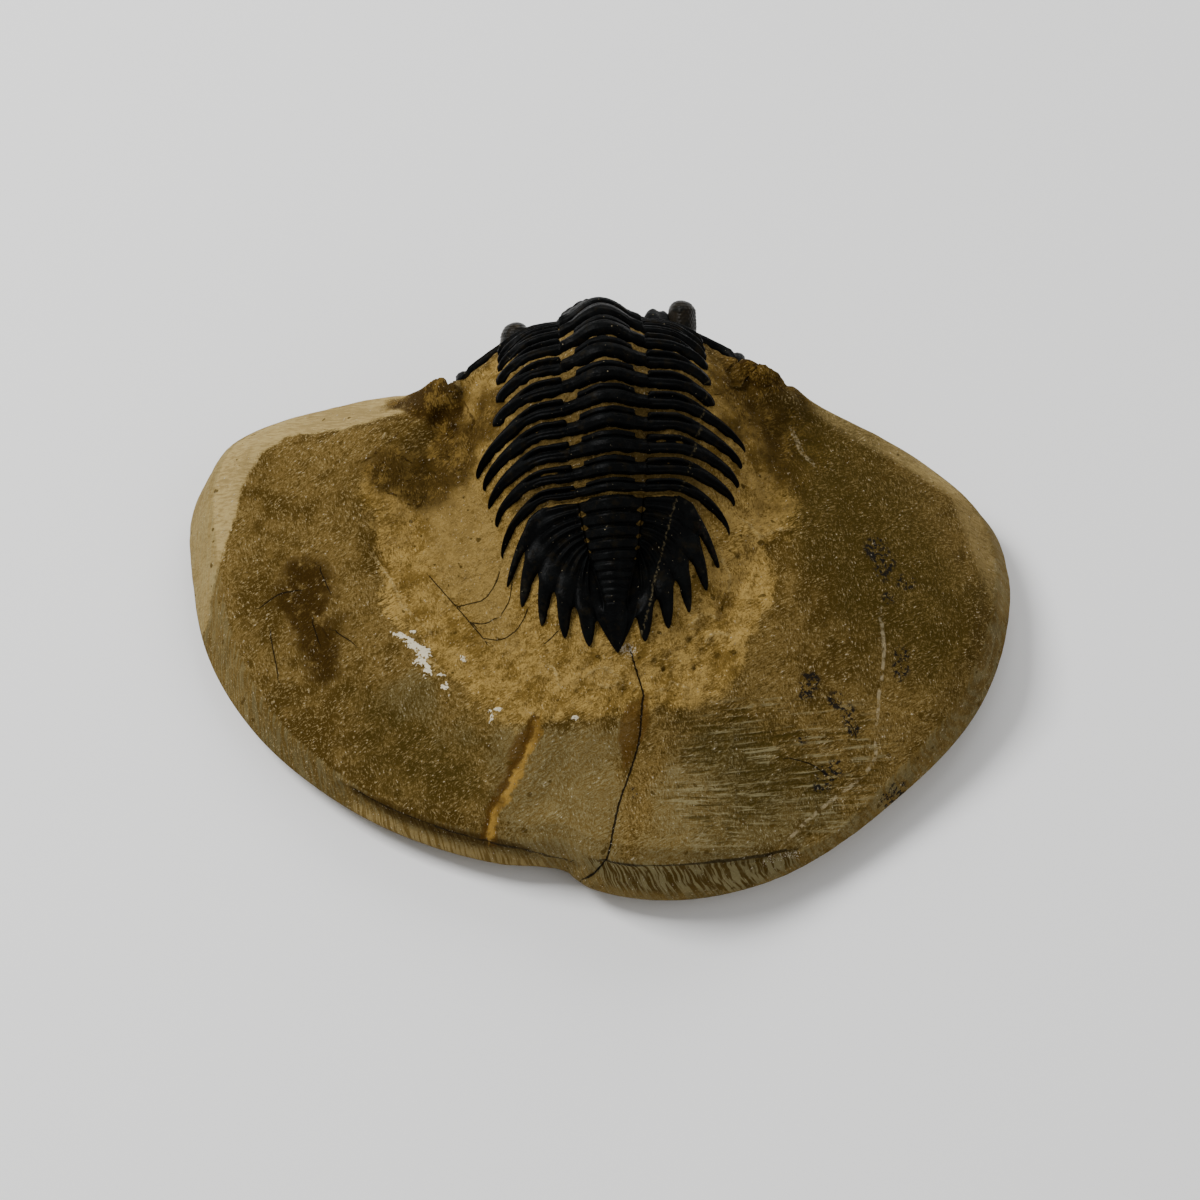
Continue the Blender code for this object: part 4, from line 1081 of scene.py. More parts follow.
def thorax_height(v, w, u, s, number):
    """A thorax plate's height: ring and half ring over the axis, two bands and a furrow, then a spine."""
    axis, fulcrum = along(AXIS_HALF_WIDTH, s), along(FULCRUM, s)
    out = w / axis
    here = flat_points(s, w + 40 * number)
    v = v + 0.025 * noise(here, 1.3, seed=4) + 0.012 * noise(here, 0.5, seed=6)
    ring = soft(RING, v)
    shoulder = soft(SHOULDER, v) + 0.12 * bump(out, 0.85, 0.12) * bump(v, 0.28, 0.2)
    middle = 1 - smooth_step(0.58, 0.7, out)
    over_axis = middle * ring + (1 - middle) * shoulder
    t = np.clip((w - axis) / (fulcrum + 1.6 - axis), 0, 1)
    wide = 0.035 + 0.075 * np.sin(np.pi * t**0.8) ** 0.8
    furrow = np.exp(-(np.abs((v - 0.57) / wide) ** 3)) * (1 - smooth_step(0.85, 1.0, t))
    line = bump(v, 0.23, 0.035) * smooth_step(0.02, 0.12, t) * (1 - smooth_step(0.7, 0.95, t))
    pleura = soft(PLEURA, v) - 0.45 * furrow - 0.12 * line
    side = smooth_step(0.98, 1.04, out)
    height = (1 - side) * over_axis + side * pleura
    height = height - 0.26 * bump(w, axis, 0.12) * smooth_step(0.02, 0.15, v)
    outer = smooth_step(0.55, 0.78, u)
    tip = np.sqrt(1 - np.clip((u - 0.8) / 0.2, 0, 1) ** 2)
    height = height * (1 - outer) + soft(SPINE, v) * (0.1 + 0.9 * tip) * outer
    return height + 0.02 * rough(here, 0.6, 3, 0.6, seed=9)


def thorax_grid(number, stations, shares):
    """(s, w, h) of a thorax plate's top, from its left tip to its right tip."""
    rows = []
    for tip, sign in ((LEFT_TIPS[number], -1), (RIGHT_TIPS[number], 1)):
        u, w, s, across, half = plate_side(number, tip, stations)
        offset = 2 * (shares[None, :] - 0.5) * half[:, None]
        ragged = noise(flat_points(w[:, None] + 0 * offset, 9.0 * (offset > 0)), 0.8, seed=number)
        offset = offset * (1 + 0.09 * ragged * (2 * shares[None, :] - 1) ** 2)
        grid_w = w[:, None] + across[:, :1] * offset
        grid_s = s[:, None] + across[:, 1:] * offset
        v, u = np.broadcast_arrays(shares[None, :], u[:, None])
        height = thorax_height(v, grid_w, u, grid_s, number + 0.5 * (sign > 0))
        side = np.stack([grid_s, sign * grid_w, height], -1)
        rows.append(side[::-1] if sign < 0 else side[1:])
    return np.concatenate(rows)


def build_thorax(material):
    shares = np.linspace(0, 1, PLATE_SHARES)
    for number in range(len(THORAX_LENGTHS)):
        grid = thorax_grid(number, PLATE_STATIONS, shares)
        place = len(THORAX_LENGTHS) - number
        start = SPINES_WORN_FROM if number < FREE_SPINES else FAR
        plate(f"segment_{place:02d}", f"thorax_segment_{place:02d}", [grid], material, PLATE_UNDER,
              worn=lambda s, w, points: smooth_step(start, start + 2.0, np.abs(w)), repair=repair_distance)


def front_edge_of_tail(stations):
    """The tail's front edge, which follows the last thorax plate's rear edge out to the first notch."""
    u, w, s, across, half = plate_side(0, LEFT_TIPS[0], 161)
    edge = np.stack([w, s], -1) - across * (half + FRONT_EDGE_GAP)[:, None]
    start = along(AXIS_HALF_WIDTH, RIB_STARTS[0])
    first = int(np.argmax(edge[:, 0] > start))
    end = int(np.argmax(u > FRONT_EDGE_ENDS))
    kept = np.concatenate([[(start, RIB_STARTS[0])], edge[first:end]])
    length = np.concatenate([[0], np.cumsum(np.hypot(*np.diff(kept, axis=0).T))])
    at = np.linspace(0, length[-1], stations)
    return np.stack([np.interp(at, length, kept[:, 0]), np.interp(at, length, kept[:, 1])], -1)


def tail_edges(stations):
    """The six lines between ribs, from the axis to the notches."""
    u = np.linspace(0, 1, stations)
    edges = [front_edge_of_tail(stations)]
    near, beside = BESIDE_AXIS
    for start_s, notch in zip(RIB_STARTS[1:], NOTCHES):
        start = np.array([along(AXIS_HALF_WIDTH, start_s), start_s])
        notch = np.array(notch)
        bend = start + np.array(RIB_BEND) * (notch - start)
        if notch[0] < start[0] + near:
            bend = np.array([start[0] + beside, (start[1] + notch[1]) / 2])
        edges.append(curve([start, bend, notch], u))
    return edges


def edge_to_tip(edge, tip, t):
    """A spine's edge from the notch to the tip, bulging a little."""
    start, tip = edge[-1], np.array(tip)
    before = edge[-1] - edge[-2]
    onward = start + SPINE_BULGE * np.linalg.norm(tip - start) * before / np.linalg.norm(before)
    return curve([start, (onward + (start + tip) / 2) / 2, tip], t)


def spine_back(v):
    """A spine's height across its width, from edge to edge."""
    return np.sqrt(np.clip(1 - (2 * v - 1) ** 2, 0, 1))


def rib_height(p, v):
    """A rib's height inside the fan: two fine ridges that fade before the smooth rim."""
    ridges = 0.36 * bump(v, 0.24, 0.11) + 0.32 * bump(v, 0.7, 0.11)
    start = smooth_step(0.0, 0.06, p)
    fade = 1 - smooth_step(0.52, 0.8, p)
    base = 0.3 + 0.12 * np.sin(np.pi * np.clip(v, 0, 1))
    fan = base * (1 - 0.25 * start) + ridges * start * fade
    rim = RIM_HEIGHT + SPINE_HEIGHT * spine_back(v) * smooth_step(0.6, 1.0, p)
    return fan * (1 - smooth_step(0.6, 1.0, p)) + rim * smooth_step(0.6, 1.0, p)


def tail_grids(stations, shares):
    """(s, w, h) of each of the right side's ribs with its spine."""
    inner = tail_edges(2 * stations)
    t = np.linspace(0, 1, stations)[1:]
    v = shares[None, :]
    p = np.linspace(0, 1, 2 * stations)[:, None]
    back = spine_back(v) * (1 - t[:, None]) ** SPINE_BLUNTNESS
    height = np.concatenate([rib_height(p, v), RIM_HEIGHT * (1 - t[:, None] * 0.5) + SPINE_HEIGHT * back])
    grids = []
    for front, rear, tip in zip(inner[:-1], inner[1:], SPINE_TIPS):
        outer_front, outer_rear = finger(front, rear, tip, t)
        front = np.concatenate([front, outer_front])[:, None]
        rear = np.concatenate([rear, outer_rear])[:, None]
        plan = front * (1 - v[..., None]) + rear * v[..., None]
        grids.append(np.stack([plan[..., 1], plan[..., 0], height], -1))
    return grids


def finger(front, rear, tip, t):
    """A spine's two edges: they leave a rounded notch, run evenly and close on a blunt tip."""
    a, b = edge_to_tip(front, tip, t), edge_to_tip(rear, tip, t)
    across = a - b
    across[-1] = across[-2]
    across /= np.linalg.norm(across, axis=1, keepdims=True)
    half = np.linalg.norm(front[-1] - rear[-1]) / 2
    width = FINGER_WIDTH + (1 - FINGER_WIDTH) * np.exp(-t / NOTCH_ROUNDING)
    width = half * width * (1 - t**FINGER_TAPER) ** 0.6
    middle = (a + b) / 2
    return middle + width[:, None] * across, middle - width[:, None] * across


def tail_ring_height(s):
    """The rings of the tail's axis: rounded bands between furrows that fade to the rear."""
    places = np.array(TAIL_RING_PLACES)
    bounds = np.concatenate([[2 * places[0] - places[1]], places, [TAIL_AXIS_END - 0.3]])
    furrows = (bounds[1:] + bounds[:-1]) / 2
    away = np.min(np.abs(np.subtract.outer(s, furrows)), -1)
    half = along(TAIL_FURROW_HALF_WIDTH, s)
    return -along(TAIL_FURROW_DEPTH, s) * bump(away, 0, half) * (s > TAIL_AXIS_END - 0.3)


def tail_axis_grid(stations, shares, columns):
    """(s, w, h) of the tail's axis and its last spine, in rows from the front to the tip."""
    rows = []
    for front, rear in zip(RIB_STARTS[:-1], RIB_STARTS[1:]):
        for share in shares if front == RIB_STARTS[0] else shares[1:]:
            s = front + share * (rear - front)
            rows.append((s, along(AXIS_HALF_WIDTH, s), rib_height(0.0, share), TAIL_CROWN))
    last = tail_edges(2 * stations)[-1]
    p = np.linspace(0, 1, 2 * stations)
    for share, (w, s) in zip(p[1:], last[1:]):
        crown = TAIL_CROWN - 0.25 * smooth_step(0.4, 1.0, share)
        rows.append((s, w, rib_height(share, 1.0), crown))
    t = np.linspace(0, 1, stations)[1:]
    for share, (w, s) in zip(t, edge_to_tip(last, (0.0, 0.0), t)):
        rim = RIM_HEIGHT * (1 - share * 0.5)
        rows.append((s, w, rim, rim + 0.4 * (1 - share) ** SPINE_BLUNTNESS))
    s, half, rim, crown = (np.array(values, float)[:, None] for values in zip(*rows))
    out = np.linspace(1, -1, columns)
    wide = along(TAIL_AXIS_WIDTH, s)
    inside = wide - np.abs(half * out)
    behind = smooth_step(TAIL_AXIS_END - 1.0, TAIL_AXIS_END + 0.6, s)
    raised = behind * smooth_step(-0.1, 0.5, inside) + (1 - behind) * smooth_step(0, 0.5, 1 - np.abs(out))
    height = rim + (crown - rim) * raised
    height = height + tail_ring_height(s) * smooth_step(-0.05, 0.3, inside)
    height = np.maximum(height - 0.2 * behind * bump(inside, -0.1, 0.22), 0.12)
    return np.stack([s + 0 * out, half * out, height], -1)


def mirrored(grid):
    """A grid's mirror image on the left side."""
    other = grid[:, ::-1].copy()
    other[..., 1] *= -1
    return other


def shoulder_patches(s, w, points):
    """Matrix left in the pits beside the first rings of the tail."""
    total = np.zeros(s.shape)
    for ahead, behind, sizes in zip(TAIL_RING_PLACES, TAIL_RING_PLACES[1:], SHOULDER_PITS):
        centre = (ahead + behind) / 2 + 0.1
        half = float(along(AXIS_HALF_WIDTH, centre))
        for sign, size in zip((-1, 1), sizes):
            if size > 0:
                away = np.hypot((w - sign * half * 0.9) / size, (s - centre) / (0.6 * size))
                total = np.maximum(total, 1.5 - away)
    front = smooth_step(16.35, 16.6, s + 0.1 * noise(flat_points(s, w), 0.8)) * (np.abs(w) > 2.1)
    return np.maximum(total, 2 * front - 0.5)


def build_tail(material):
    shares = np.linspace(0, 1, RIB_SHARES)
    ribs = tail_grids(RIB_STATIONS, shares)
    grids = [tail_axis_grid(RIB_STATIONS, shares, AXIS_COLUMNS), *ribs, *map(mirrored, ribs)]
    plate("tail_shield", "pygidium", grids, material, TAIL_UNDER,
          worn=lambda s, w, points: smooth_step(*TAIL_WORN, np.hypot(w, 0.9 * (s - 10.5))),
          repair=repair_distance, patch=shoulder_patches)


def head_outline(v):
    """The head shield's rear and front edges at a share of its half width."""
    squareness, rounding = HEAD_ROUNDING
    rear = NECK + GAP / 2 - CHEEK_SPINE * smooth_step(CHEEK_SPINE_FROM, 1.0, np.abs(v)) ** 1.5
    front = NECK + HEAD_CORNER + (HEAD_LENGTH - HEAD_CORNER) * (1 - np.abs(v) ** squareness) ** rounding
    return rear, front


def head_height(s, w, v):
    """The head shield's relief: border, neck ring, glabella with its furrows, and the cheeks."""
    ahead, out = s - NECK, np.abs(w)
    axis = along(AXIS_HALF_WIDTH, s)
    rear, front = head_outline(v)
    to_front = np.minimum((front - s), (1 - np.abs(v)) * HEAD_HALF_WIDTH * 1.1)
    edge = soft(HEAD_RIM, to_front) + 0.25 * smooth_step(0.0, 0.3, s - rear)
    start, length = GLABELLA_FRONT
    lobe = axis * np.sqrt(1 - np.clip((ahead - start) / length, 0, 1) ** 2)
    within = lobe - out - 9 * (ahead > start + length)
    inside = smooth_step(-0.1, 0.5, within)
    swollen = 0.05 + 0.2 * smooth_step(2.5, 4.0, ahead)
    swollen = swollen + 0.4 * smooth_step(0.0, 2.6, within) * smooth_step(4, 9, ahead)
    height = edge + swollen * inside * smooth_step(0.0, 0.4, ahead)
    height -= 0.55 * bump(ahead, 2.3, 0.36) * (0.35 + 0.65 * inside) * (1 - smooth_step(13.0, 15.0, out))
    height += 0.08 * bump(ahead, 1.05, 0.75) * inside
    height += knob(ahead, w, 1.0, 0.0, 0.3, 0.3)
    height -= 0.65 * bump(within, -0.2, 0.45) * smooth_step(0.0, 0.8, ahead)
    for place, slant, inner in GLABELLA_FURROWS:
        line = place - slant * (1 - out / axis) * 2
        reach = smooth_step(inner, inner + 0.2, out / axis) * inside
        height -= 0.45 * bump(ahead, line, 0.38) * reach
    forward, aside, radius, tall = EYE_SWELLING
    tall, radius = np.where(w > 0, RIGHT_LOBE, tall), np.where(w > 0, RIGHT_LOBE, radius)
    height += knob(ahead, out, forward, aside, radius, tall)
    forward, aside, long, wide = EYE_FURROW
    height -= 0.3 * bump(np.hypot((ahead - forward) / long, (out - aside) / wide), 1.0, 0.16)
    warts = grains(s, w, 1.15, 3) * (0.17 * inside + 0.07 * (1 - inside) * smooth_step(1.6, 2.4, to_front))
    here = flat_points(s, w)
    return height + warts * smooth_step(2.8, 3.4, ahead) + 0.02 * rough(here, 0.7, 3, 0.6, seed=12)


def build_head(material):
    even = np.linspace(-1, 1, HEAD_COLUMNS + 1)
    v = (HEAD_SPREAD * np.sin(even * np.pi / 2) + (1 - HEAD_SPREAD) * even)[None, :]
    p = np.linspace(0, 1, HEAD_ROWS + 1)[:, None]
    rear, front = head_outline(v)
    s = rear + p * (front - rear)
    w = HEAD_HALF_WIDTH * v + 0 * p
    grid = np.stack([s, w, head_height(s, w, v)], -1)
    plate("head_shield", "cephalon", [grid], material, HEAD_UNDER,
          worn=lambda s, w, points: 0.35 * smooth_step(0.2, 0.8, rough(points, 4.0, 3, seed=4)))


def eye_direction(s, w):
    """The way an eye stands up: between the head's own upright and the cheek's."""
    return unit((1 - EYE_LEAN) * sheet_normal(s, np.array(0.0)) + EYE_LEAN * sheet_normal(s, w))


def lens_lattice(around, height):
    """Domes packed in files round an eye, 1 on top of each and 0 between them."""
    best = np.full(np.broadcast(around, height).shape, 9.0)
    tall = LENS_PITCH * math.sqrt(3)
    for shift in (0.0, 0.5):
        u = (around / LENS_PITCH + shift) % 1 - 0.5
        v = (height / tall + shift) % 1 - 0.5
        best = np.minimum(best, np.hypot(u * LENS_PITCH, v * tall))
    return np.sqrt(np.clip(1 - (best / (LENS_SHARE * LENS_PITCH)) ** 2, 0, 1))


def build_eye(name, forward, place_w, tall, wear, material):
    """A tall eye: a curved tower of lenses under a smooth overhanging lid."""
    place = np.array(NECK + forward), np.array(place_w)
    turn = np.arange(EYE_TURNS) * 2 * np.pi / EYE_TURNS
    facing = np.cos(turn - (0 if place_w > 0 else np.pi))
    dent = 1 - 0.2 * np.clip(-facing, 0, 1) ** 2
    long, wide = EYE_RADII[0] * np.sin(turn) * dent, EYE_RADII[1] * np.cos(turn) * dent
    up = eye_direction(*place)
    level = np.linspace(0, 1, EYE_ROWS)[:, None] * (tall + EYE_DEPTH) - EYE_DEPTH
    size = soft((*EYE_FOOT, *((tall - below, width) for below, width in EYE_LID)), level)
    ring = sheet_point(place[0] + size * long, place[1] + size * wide)
    points = ring + (level - (ring - sheet_point(*place)) @ up)[..., None] * up
    spoke = unit(points - points.mean(1, keepdims=True))
    around = np.cumsum(np.hypot(np.gradient(wide), np.gradient(long)))
    band = smooth_step(0.6, 0.9, level) * (1 - smooth_step(tall - 0.95, tall - 0.6, level))
    band = band * smooth_step(-0.35, -0.05, facing)
    lenses = lens_lattice(around[None, :] + 0 * level, level + 0 * facing) * band
    worn = 1 - wear * smooth_step(-0.3, 0.4, noise(points, 1.4, seed=2))
    points = points + (LENS_HEIGHT * lenses * worn + 0.03 * noise(points, 0.8, seed=3))[..., None] * spoke
    top = points[-1].mean(0) + EYE_TOP_RISE * up
    cap = [points[-1] + (top - points[-1]) * part
           + EYE_TOP_BULGE * math.sin(part * math.pi / 2) * up * (1 - part) for part in EYE_TOP_RINGS]
    flat, faces = closed_rings(np.concatenate([points, cap]), points[0].mean(0), top)
    lens = np.append(lenses * worn, np.zeros(len(flat) - lenses.size))
    eye = make_mesh(name, flat, faces, material, {"lens": lens, "wear": np.full(len(flat), wear)})
    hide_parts("cephalon")


class Value:
    """A number or a colour that nodes make. What is worked out from it is made by nodes too."""

    def __init__(self, look, socket):
        self.look, self.socket = look, socket

    def __add__(self, other):
        return self.look.math("ADD", self, other)

    def __sub__(self, other):
        return self.look.math("SUBTRACT", self, other)

    def __mul__(self, other):
        return self.look.math("MULTIPLY", self, other)

    def __abs__(self):
        return self.look.math("ABSOLUTE", self, 0.0)

    def step(self, low, high, start=0.0, end=1.0):
        """A soft step from start to end where the value goes from low to high."""
        ends = {"From Min": low, "From Max": high, "To Min": start, "To Max": end}
        return self.look.node("MapRange", "Result", {"Value": self, **ends}, interpolation_type="SMOOTHSTEP")


class Look:
    """A material, the nodes that make it, and the colour as painted so far."""

    def __init__(self, name):
        self.material = bpy.data.materials.new(name)
        self.material.use_nodes = True
        self.tree = self.material.node_tree
        self.shader = self.tree.nodes["Principled BSDF"]
        metres = self.node("TexCoord", "Object", {})
        self.place = self.node("VectorMath", 0, {0: metres, "Scale": 1 / MM}, operation="SCALE")

    def feed(self, socket, value):
        """Link a value to a socket, or set the socket to a number, a vector or a colour."""
        if isinstance(value, Value):
            self.tree.links.new(value.socket, socket)
        else:
            socket.default_value = (*value, 1) if socket.type == "RGBA" else value

    def node(self, kind, output, inputs, **settings):
        """A new node with its settings and inputs, as the value at one of its outputs."""
        node = self.tree.nodes.new("ShaderNode" + kind)
        for name, setting in settings.items():
            setattr(node, name, setting)
        for key, value in inputs.items():
            self.feed(node.inputs[key], value)
        return Value(self, node.outputs[output])

    def math(self, operation, a, b):
        return self.node("Math", 0, {0: a, 1: b}, operation=operation)

    def mask(self, name):
        return self.node("Attribute", "Fac", {}, attribute_name=name)

    def stretched(self, sizes, turn, lean=0.0):
        """The place in a turned and leaning frame, drawn out along its axes."""
        turns = (0, math.radians(lean), math.radians(turn))
        inputs = {"Vector": self.place, "Rotation": turns, "Scale": sizes}
        return self.node("Mapping", "Vector", inputs, vector_type="TEXTURE")

    def noise(self, size, detail=3.0, roughness=0.55, at=None):
        """Noise from 0 to 1 with lumps about size mm across."""
        inputs = {"Vector": at or self.place, "Scale": 1 / size, "Detail": detail, "Roughness": roughness}
        return self.node("TexNoise", "Fac", inputs)

    def mix(self, share, a, b):
        """The colour a, and b by its share."""
        return self.node("Mix", MIX_RESULT, dict(zip(MIX_INPUTS, (share, a, b))), data_type="RGBA")

    def tones(self, value, low, high, a, b):
        """The colour a below low, b above high, and a soft step between them."""
        return self.mix(value.step(low, high), a, b)

    def coat(self, share, colour):
        """Paint a colour over what is there."""
        self.colour = self.mix(share, self.colour, colour)

    def line(self, name, half, wobble):
        """1 on a line given by its signed and plain distance masks, 0 off it."""
        away = abs(self.mask(name) + wobble)
        near = self.mask(name + "_near").step(LINE_REACH, LINE_REACH * 1.4, 1.0, 0.0)
        return away.step(half, half * 1.9, 1.0, 0.0) * near

    def finish(self, roughness, specular, height, relief):
        """The painted colour, how it shines, and a fine relief of that many mm."""
        bump_inputs = {"Strength": 1.0, "Distance": relief * MM, "Height": height}
        normal = self.node("Bump", "Normal", bump_inputs)
        for key, value in (("Base Color", self.colour), ("Roughness", roughness), ("Normal", normal)):
            self.feed(self.shader.inputs[key], value)
        self.shader.inputs["Specular IOR Level"].default_value = specular
        return self.material


# The colour sockets of a Mix node, and how far from a line in mm its colour can reach.
MIX_INPUTS, MIX_RESULT = (0, 6, 7), 2
LINE_REACH = 0.7

# Colours, as linear values.
BROWN, BROWN_DEEP, BROWN_PALE = (0.135, 0.086, 0.023), (0.055, 0.032, 0.005), (0.27, 0.195, 0.075)
OCHRE, OCHRE_DEEP, FLOOR_TAN = (0.385, 0.255, 0.075), (0.15, 0.09, 0.019), (0.26, 0.175, 0.055)
GREY_TAN, GREY_PALE = (0.185, 0.155, 0.072), (0.26, 0.225, 0.115)
GROUND, GROUND_DEEP = (0.41, 0.305, 0.125), (0.28, 0.2, 0.078)
TORN_ROCK_AND_SHADE, TORN_ROCK_AND_SHADE_PALE, DUSKY = (0.030, 0.015, 0.002), (0.165, 0.10, 0.022), (0.042, 0.028, 0.004)
RUST_AND_SHADOW, RUST_PALE, ORANGE = (0.075, 0.036, 0.006), (0.16, 0.088, 0.018), (0.31, 0.18, 0.035)
FILL, FILL_DEEP, FILL_PALE = (0.12, 0.077, 0.021), (0.060, 0.037, 0.009), (0.22, 0.15, 0.052)
PALE, CHALKY, CREAM = (0.42, 0.35, 0.21), (0.50, 0.44, 0.33), (0.66, 0.59, 0.42)
BLACK, SPECK = (0.008, 0.006, 0.003), (0.008, 0.0075, 0.007)
SHELL, SHELL_GREY, SHELL_BROWN = (0.0018, 0.0020, 0.0020), (0.0075, 0.0085, 0.0085), (0.0085, 0.0062, 0.0026)
SHELL_WORN, SHELL_RED, REPAIR = (0.035, 0.031, 0.020), (0.028, 0.009, 0.004), (0.085, 0.068, 0.034)
EYE_BRONZE, EYE_DARK, EYE_PALE = (0.012, 0.009, 0.005), (0.005, 0.005, 0.004), (0.06, 0.047, 0.03)


def stone_look():
    """The limestone: brown strokes, then the ground faces, the bowl, and each mark over them."""
    look = Look("limestone_look")
    broad, mid, fine = look.noise(11, 4, 0.6), look.noise(2.4, 4, 0.6), look.noise(0.42, 3, 0.7)
    grain = look.noise(0.16, 2, 0.6)
    fibres = look.noise(0.55, 3, 0.65, look.stretched((1.0, 0.32, 0.6), 32))
    crossing = look.noise(0.5, 3, 0.65, look.stretched((0.3, 0.95, 0.6), 12))
    strokes = look.mix(look.noise(4, 2).step(0.42, 0.58), fibres, crossing)
    speckle = strokes * 0.5 + (fine + grain) * 0.25
    look.colour = look.tones(broad * 0.6 + mid * 0.4, 0.42, 0.56, BROWN_DEEP, BROWN)
    look.coat(speckle.step(0.505, 0.585, 0.0, 0.72), BROWN_PALE)
    look.coat(speckle.step(0.495, 0.415, 0.0, 0.85), BROWN_DEEP)
    jitter = (mid - 0.5) * 0.9 + (speckle - 0.5) * 1.2

    def region(name, low=0.2, high=0.8):
        return (look.mask(name) + jitter).step(low, high)

    look.coat(region("grey") * 0.7, look.tones(speckle, 0.43, 0.58, BROWN, GREY_TAN))
    ochre = look.tones(mid * 0.4 + speckle * 0.6, 0.44, 0.56, OCHRE_DEEP, OCHRE)
    ochre = look.mix(region("pale_floor") * 0.6, ochre, FLOOR_TAN)
    creases = abs(look.noise(1.7, 4, 0.65) - 0.5).step(0.0, 0.035, 0.55, 0.0) * mid.step(0.44, 0.56)
    ochre = look.mix(creases, ochre, OCHRE_DEEP)
    ochre = look.mix(look.noise(0.7, 2, 0.5).step(0.62, 0.7, 0.0, 0.6), ochre, OCHRE_DEEP)
    look.coat(region("ochre") * 0.92, ochre)
    look.coat(region("light_patch") * strokes.step(0.44, 0.56, 0.1, 0.85), OCHRE)
    streaks = look.noise(0.6, 3, 0.6, look.stretched((2.4, 0.45, 1.0), -14))
    ground = look.tones(streaks * 0.6 + broad * 0.4, 0.42, 0.58, GROUND_DEEP, GROUND)
    look.coat(region("left_bevel", 0.3, 0.7) * 0.95, ground)
    look.coat(look.mask("right_bevel") * streaks.step(0.35, 0.6, 0.4, 0.9), GROUND_DEEP)
    look.coat(look.mask("back_bevel") * 0.8, ground)
    hatch = look.noise(1.0, 2, 0.5, look.stretched((0.24, 3.0, 3.0), -20, -24))
    look.coat(region("side") * 0.45, look.tones(hatch, 0.42, 0.6, BROWN, GREY_TAN))
    look.coat(look.mask("hatched") * 0.85, look.tones(hatch, 0.45, 0.58, BROWN_DEEP, GREY_TAN))
    look.coat(look.mask("strip") * 0.8, look.tones(hatch, 0.4, 0.55, BROWN, BROWN_PALE))
    # The painted shadow under the lower ledge, hatched.
    look.coat(look.mask("band") * 0.85, look.tones(hatch, 0.42, 0.6, TORN_ROCK_AND_SHADE, BROWN_DEEP))
    torn = look.tones(mid * 0.55 + strokes * 0.45, 0.46, 0.62, TORN_ROCK_AND_SHADE, TORN_ROCK_AND_SHADE_PALE)
    look.coat(region("broken") * 0.9, torn)
    # Painted shade over the shaded places, in the torn rock's colours.
    look.coat((look.mask("shade") + jitter * 1.6).step(0.2, 1.0, 0.0, 0.84), torn)
    patchy = look.noise(1.7, 5, 0.75).step(0.32, 0.5)
    look.coat(region("stain", 0.0) * patchy * 0.95, look.tones(strokes, 0.5, 0.68, TORN_ROCK_AND_SHADE, BROWN_DEEP))
    # Painted shade over the shaded patches, lighter where the speckle is pale.
    look.coat(look.mask("painted_shade") * speckle.step(0.46, 0.56, 0.92, 0.42), DUSKY)
    look.coat(region("rust") * 0.75, RUST_AND_SHADOW)
    wheel = look.noise(1.0, 3, 0.6, look.stretched((10.0, 0.34, 1.0), 11))
    scratched = look.mask("scratched") * look.noise(3.0, 2).step(0.36, 0.5)
    # The grinding scratches, with painted shade in their grooves and a painted highlight on the crests
    # between them.
    look.coat(wheel.step(0.53, 0.62, 0.0, 0.75) * scratched, DUSKY)
    look.coat(wheel.step(0.47, 0.38, 0.0, 0.6) * scratched, GREY_PALE)
    packed = look.tones(speckle, 0.45, 0.56, FILL, FILL_PALE)
    packed = look.mix(look.mask("rearward").step(0.2, 1.0, 0.0, 0.75), packed, FILL_DEEP)
    look.coat(look.mask("fill") * 0.9, packed)
    ragged = (look.noise(0.5, 2) - 0.5) * 0.3
    crack, hair = look.line("crack", 0.065, ragged), look.line("hairline", 0.038, ragged * 0.3)
    paint_lines(look, mid, fine)
    look.coat((crack + hair * 0.9) * 0.95, BLACK)
    paint_spots(look, speckle)
    height = strokes * 0.6 + grain * 0.3 + (fine + mid * 1.2) * 0.45 - wheel * scratched
    height = height + look.noise(0.6, 4, 0.7) * look.mask("ochre") * 1.6 - (crack + hair) * 1.3
    return look.finish(speckle.step(0.4, 0.6, 0.78, 0.95), 0.03, height, 0.3)


def paint_lines(look, mid, fine):
    """The orange vein with a painted shadow on one side, the pale vein, and the edges and creases of the
    rock, with painted shade in creases, pits and under the ledges and a painted highlight on ridges.
    """
    beside = look.mask("orange") + (look.noise(1.4, 4, 0.7) - 0.5) * 2.2
    along_vein = look.mask("orange_near").step(0.8, 1.6, 1.0, 0.0)
    # A painted shadow along the vein's one side, in dark rust brown.
    look.coat(abs(beside + 0.6).step(0.15, 0.55, 0.85, 0.0) * along_vein, RUST_AND_SHADOW)
    orange = look.tones(mid, 0.4, 0.6, RUST_PALE, ORANGE)
    look.coat(abs(beside - 0.1).step(0.1, 0.7, 0.9, 0.0) * along_vein, orange)
    wavy = (look.noise(1.6, 2) - 0.5) * 0.4
    look.coat(look.line("scratch", 0.15, wavy) * fine.step(0.4, 0.65, 0.0, 0.45), PALE)
    shaded_stretches = look.noise(1.2, 4, 0.7).step(0.46, 0.56)
    # Painted shade along the creases, in stretches.
    look.coat(look.line("crease", 0.08, wavy * 2.0) * shaded_stretches * 0.75, TORN_ROCK_AND_SHADE)
    look.coat(look.line("vein", 0.13, wavy) * look.noise(0.9, 3).step(0.42, 0.6) * 0.45, PALE)
    # The ridges painted paler: pale fibres and a painted highlight on their crests.
    look.coat(look.line("ridge", 0.13, wavy) * fine.step(0.4, 0.6) * 0.5, GROUND)
    # Painted shade in the pits.
    look.coat(look.mask("pit").step(0.3, 0.9, 0.0, 0.5), BROWN_DEEP)
    # A painted shadow along the ledges' edges.
    look.coat(look.line("ledge", 0.14, wavy) * look.noise(2.0, 3).step(0.28, 0.4) * 0.7, BLACK)


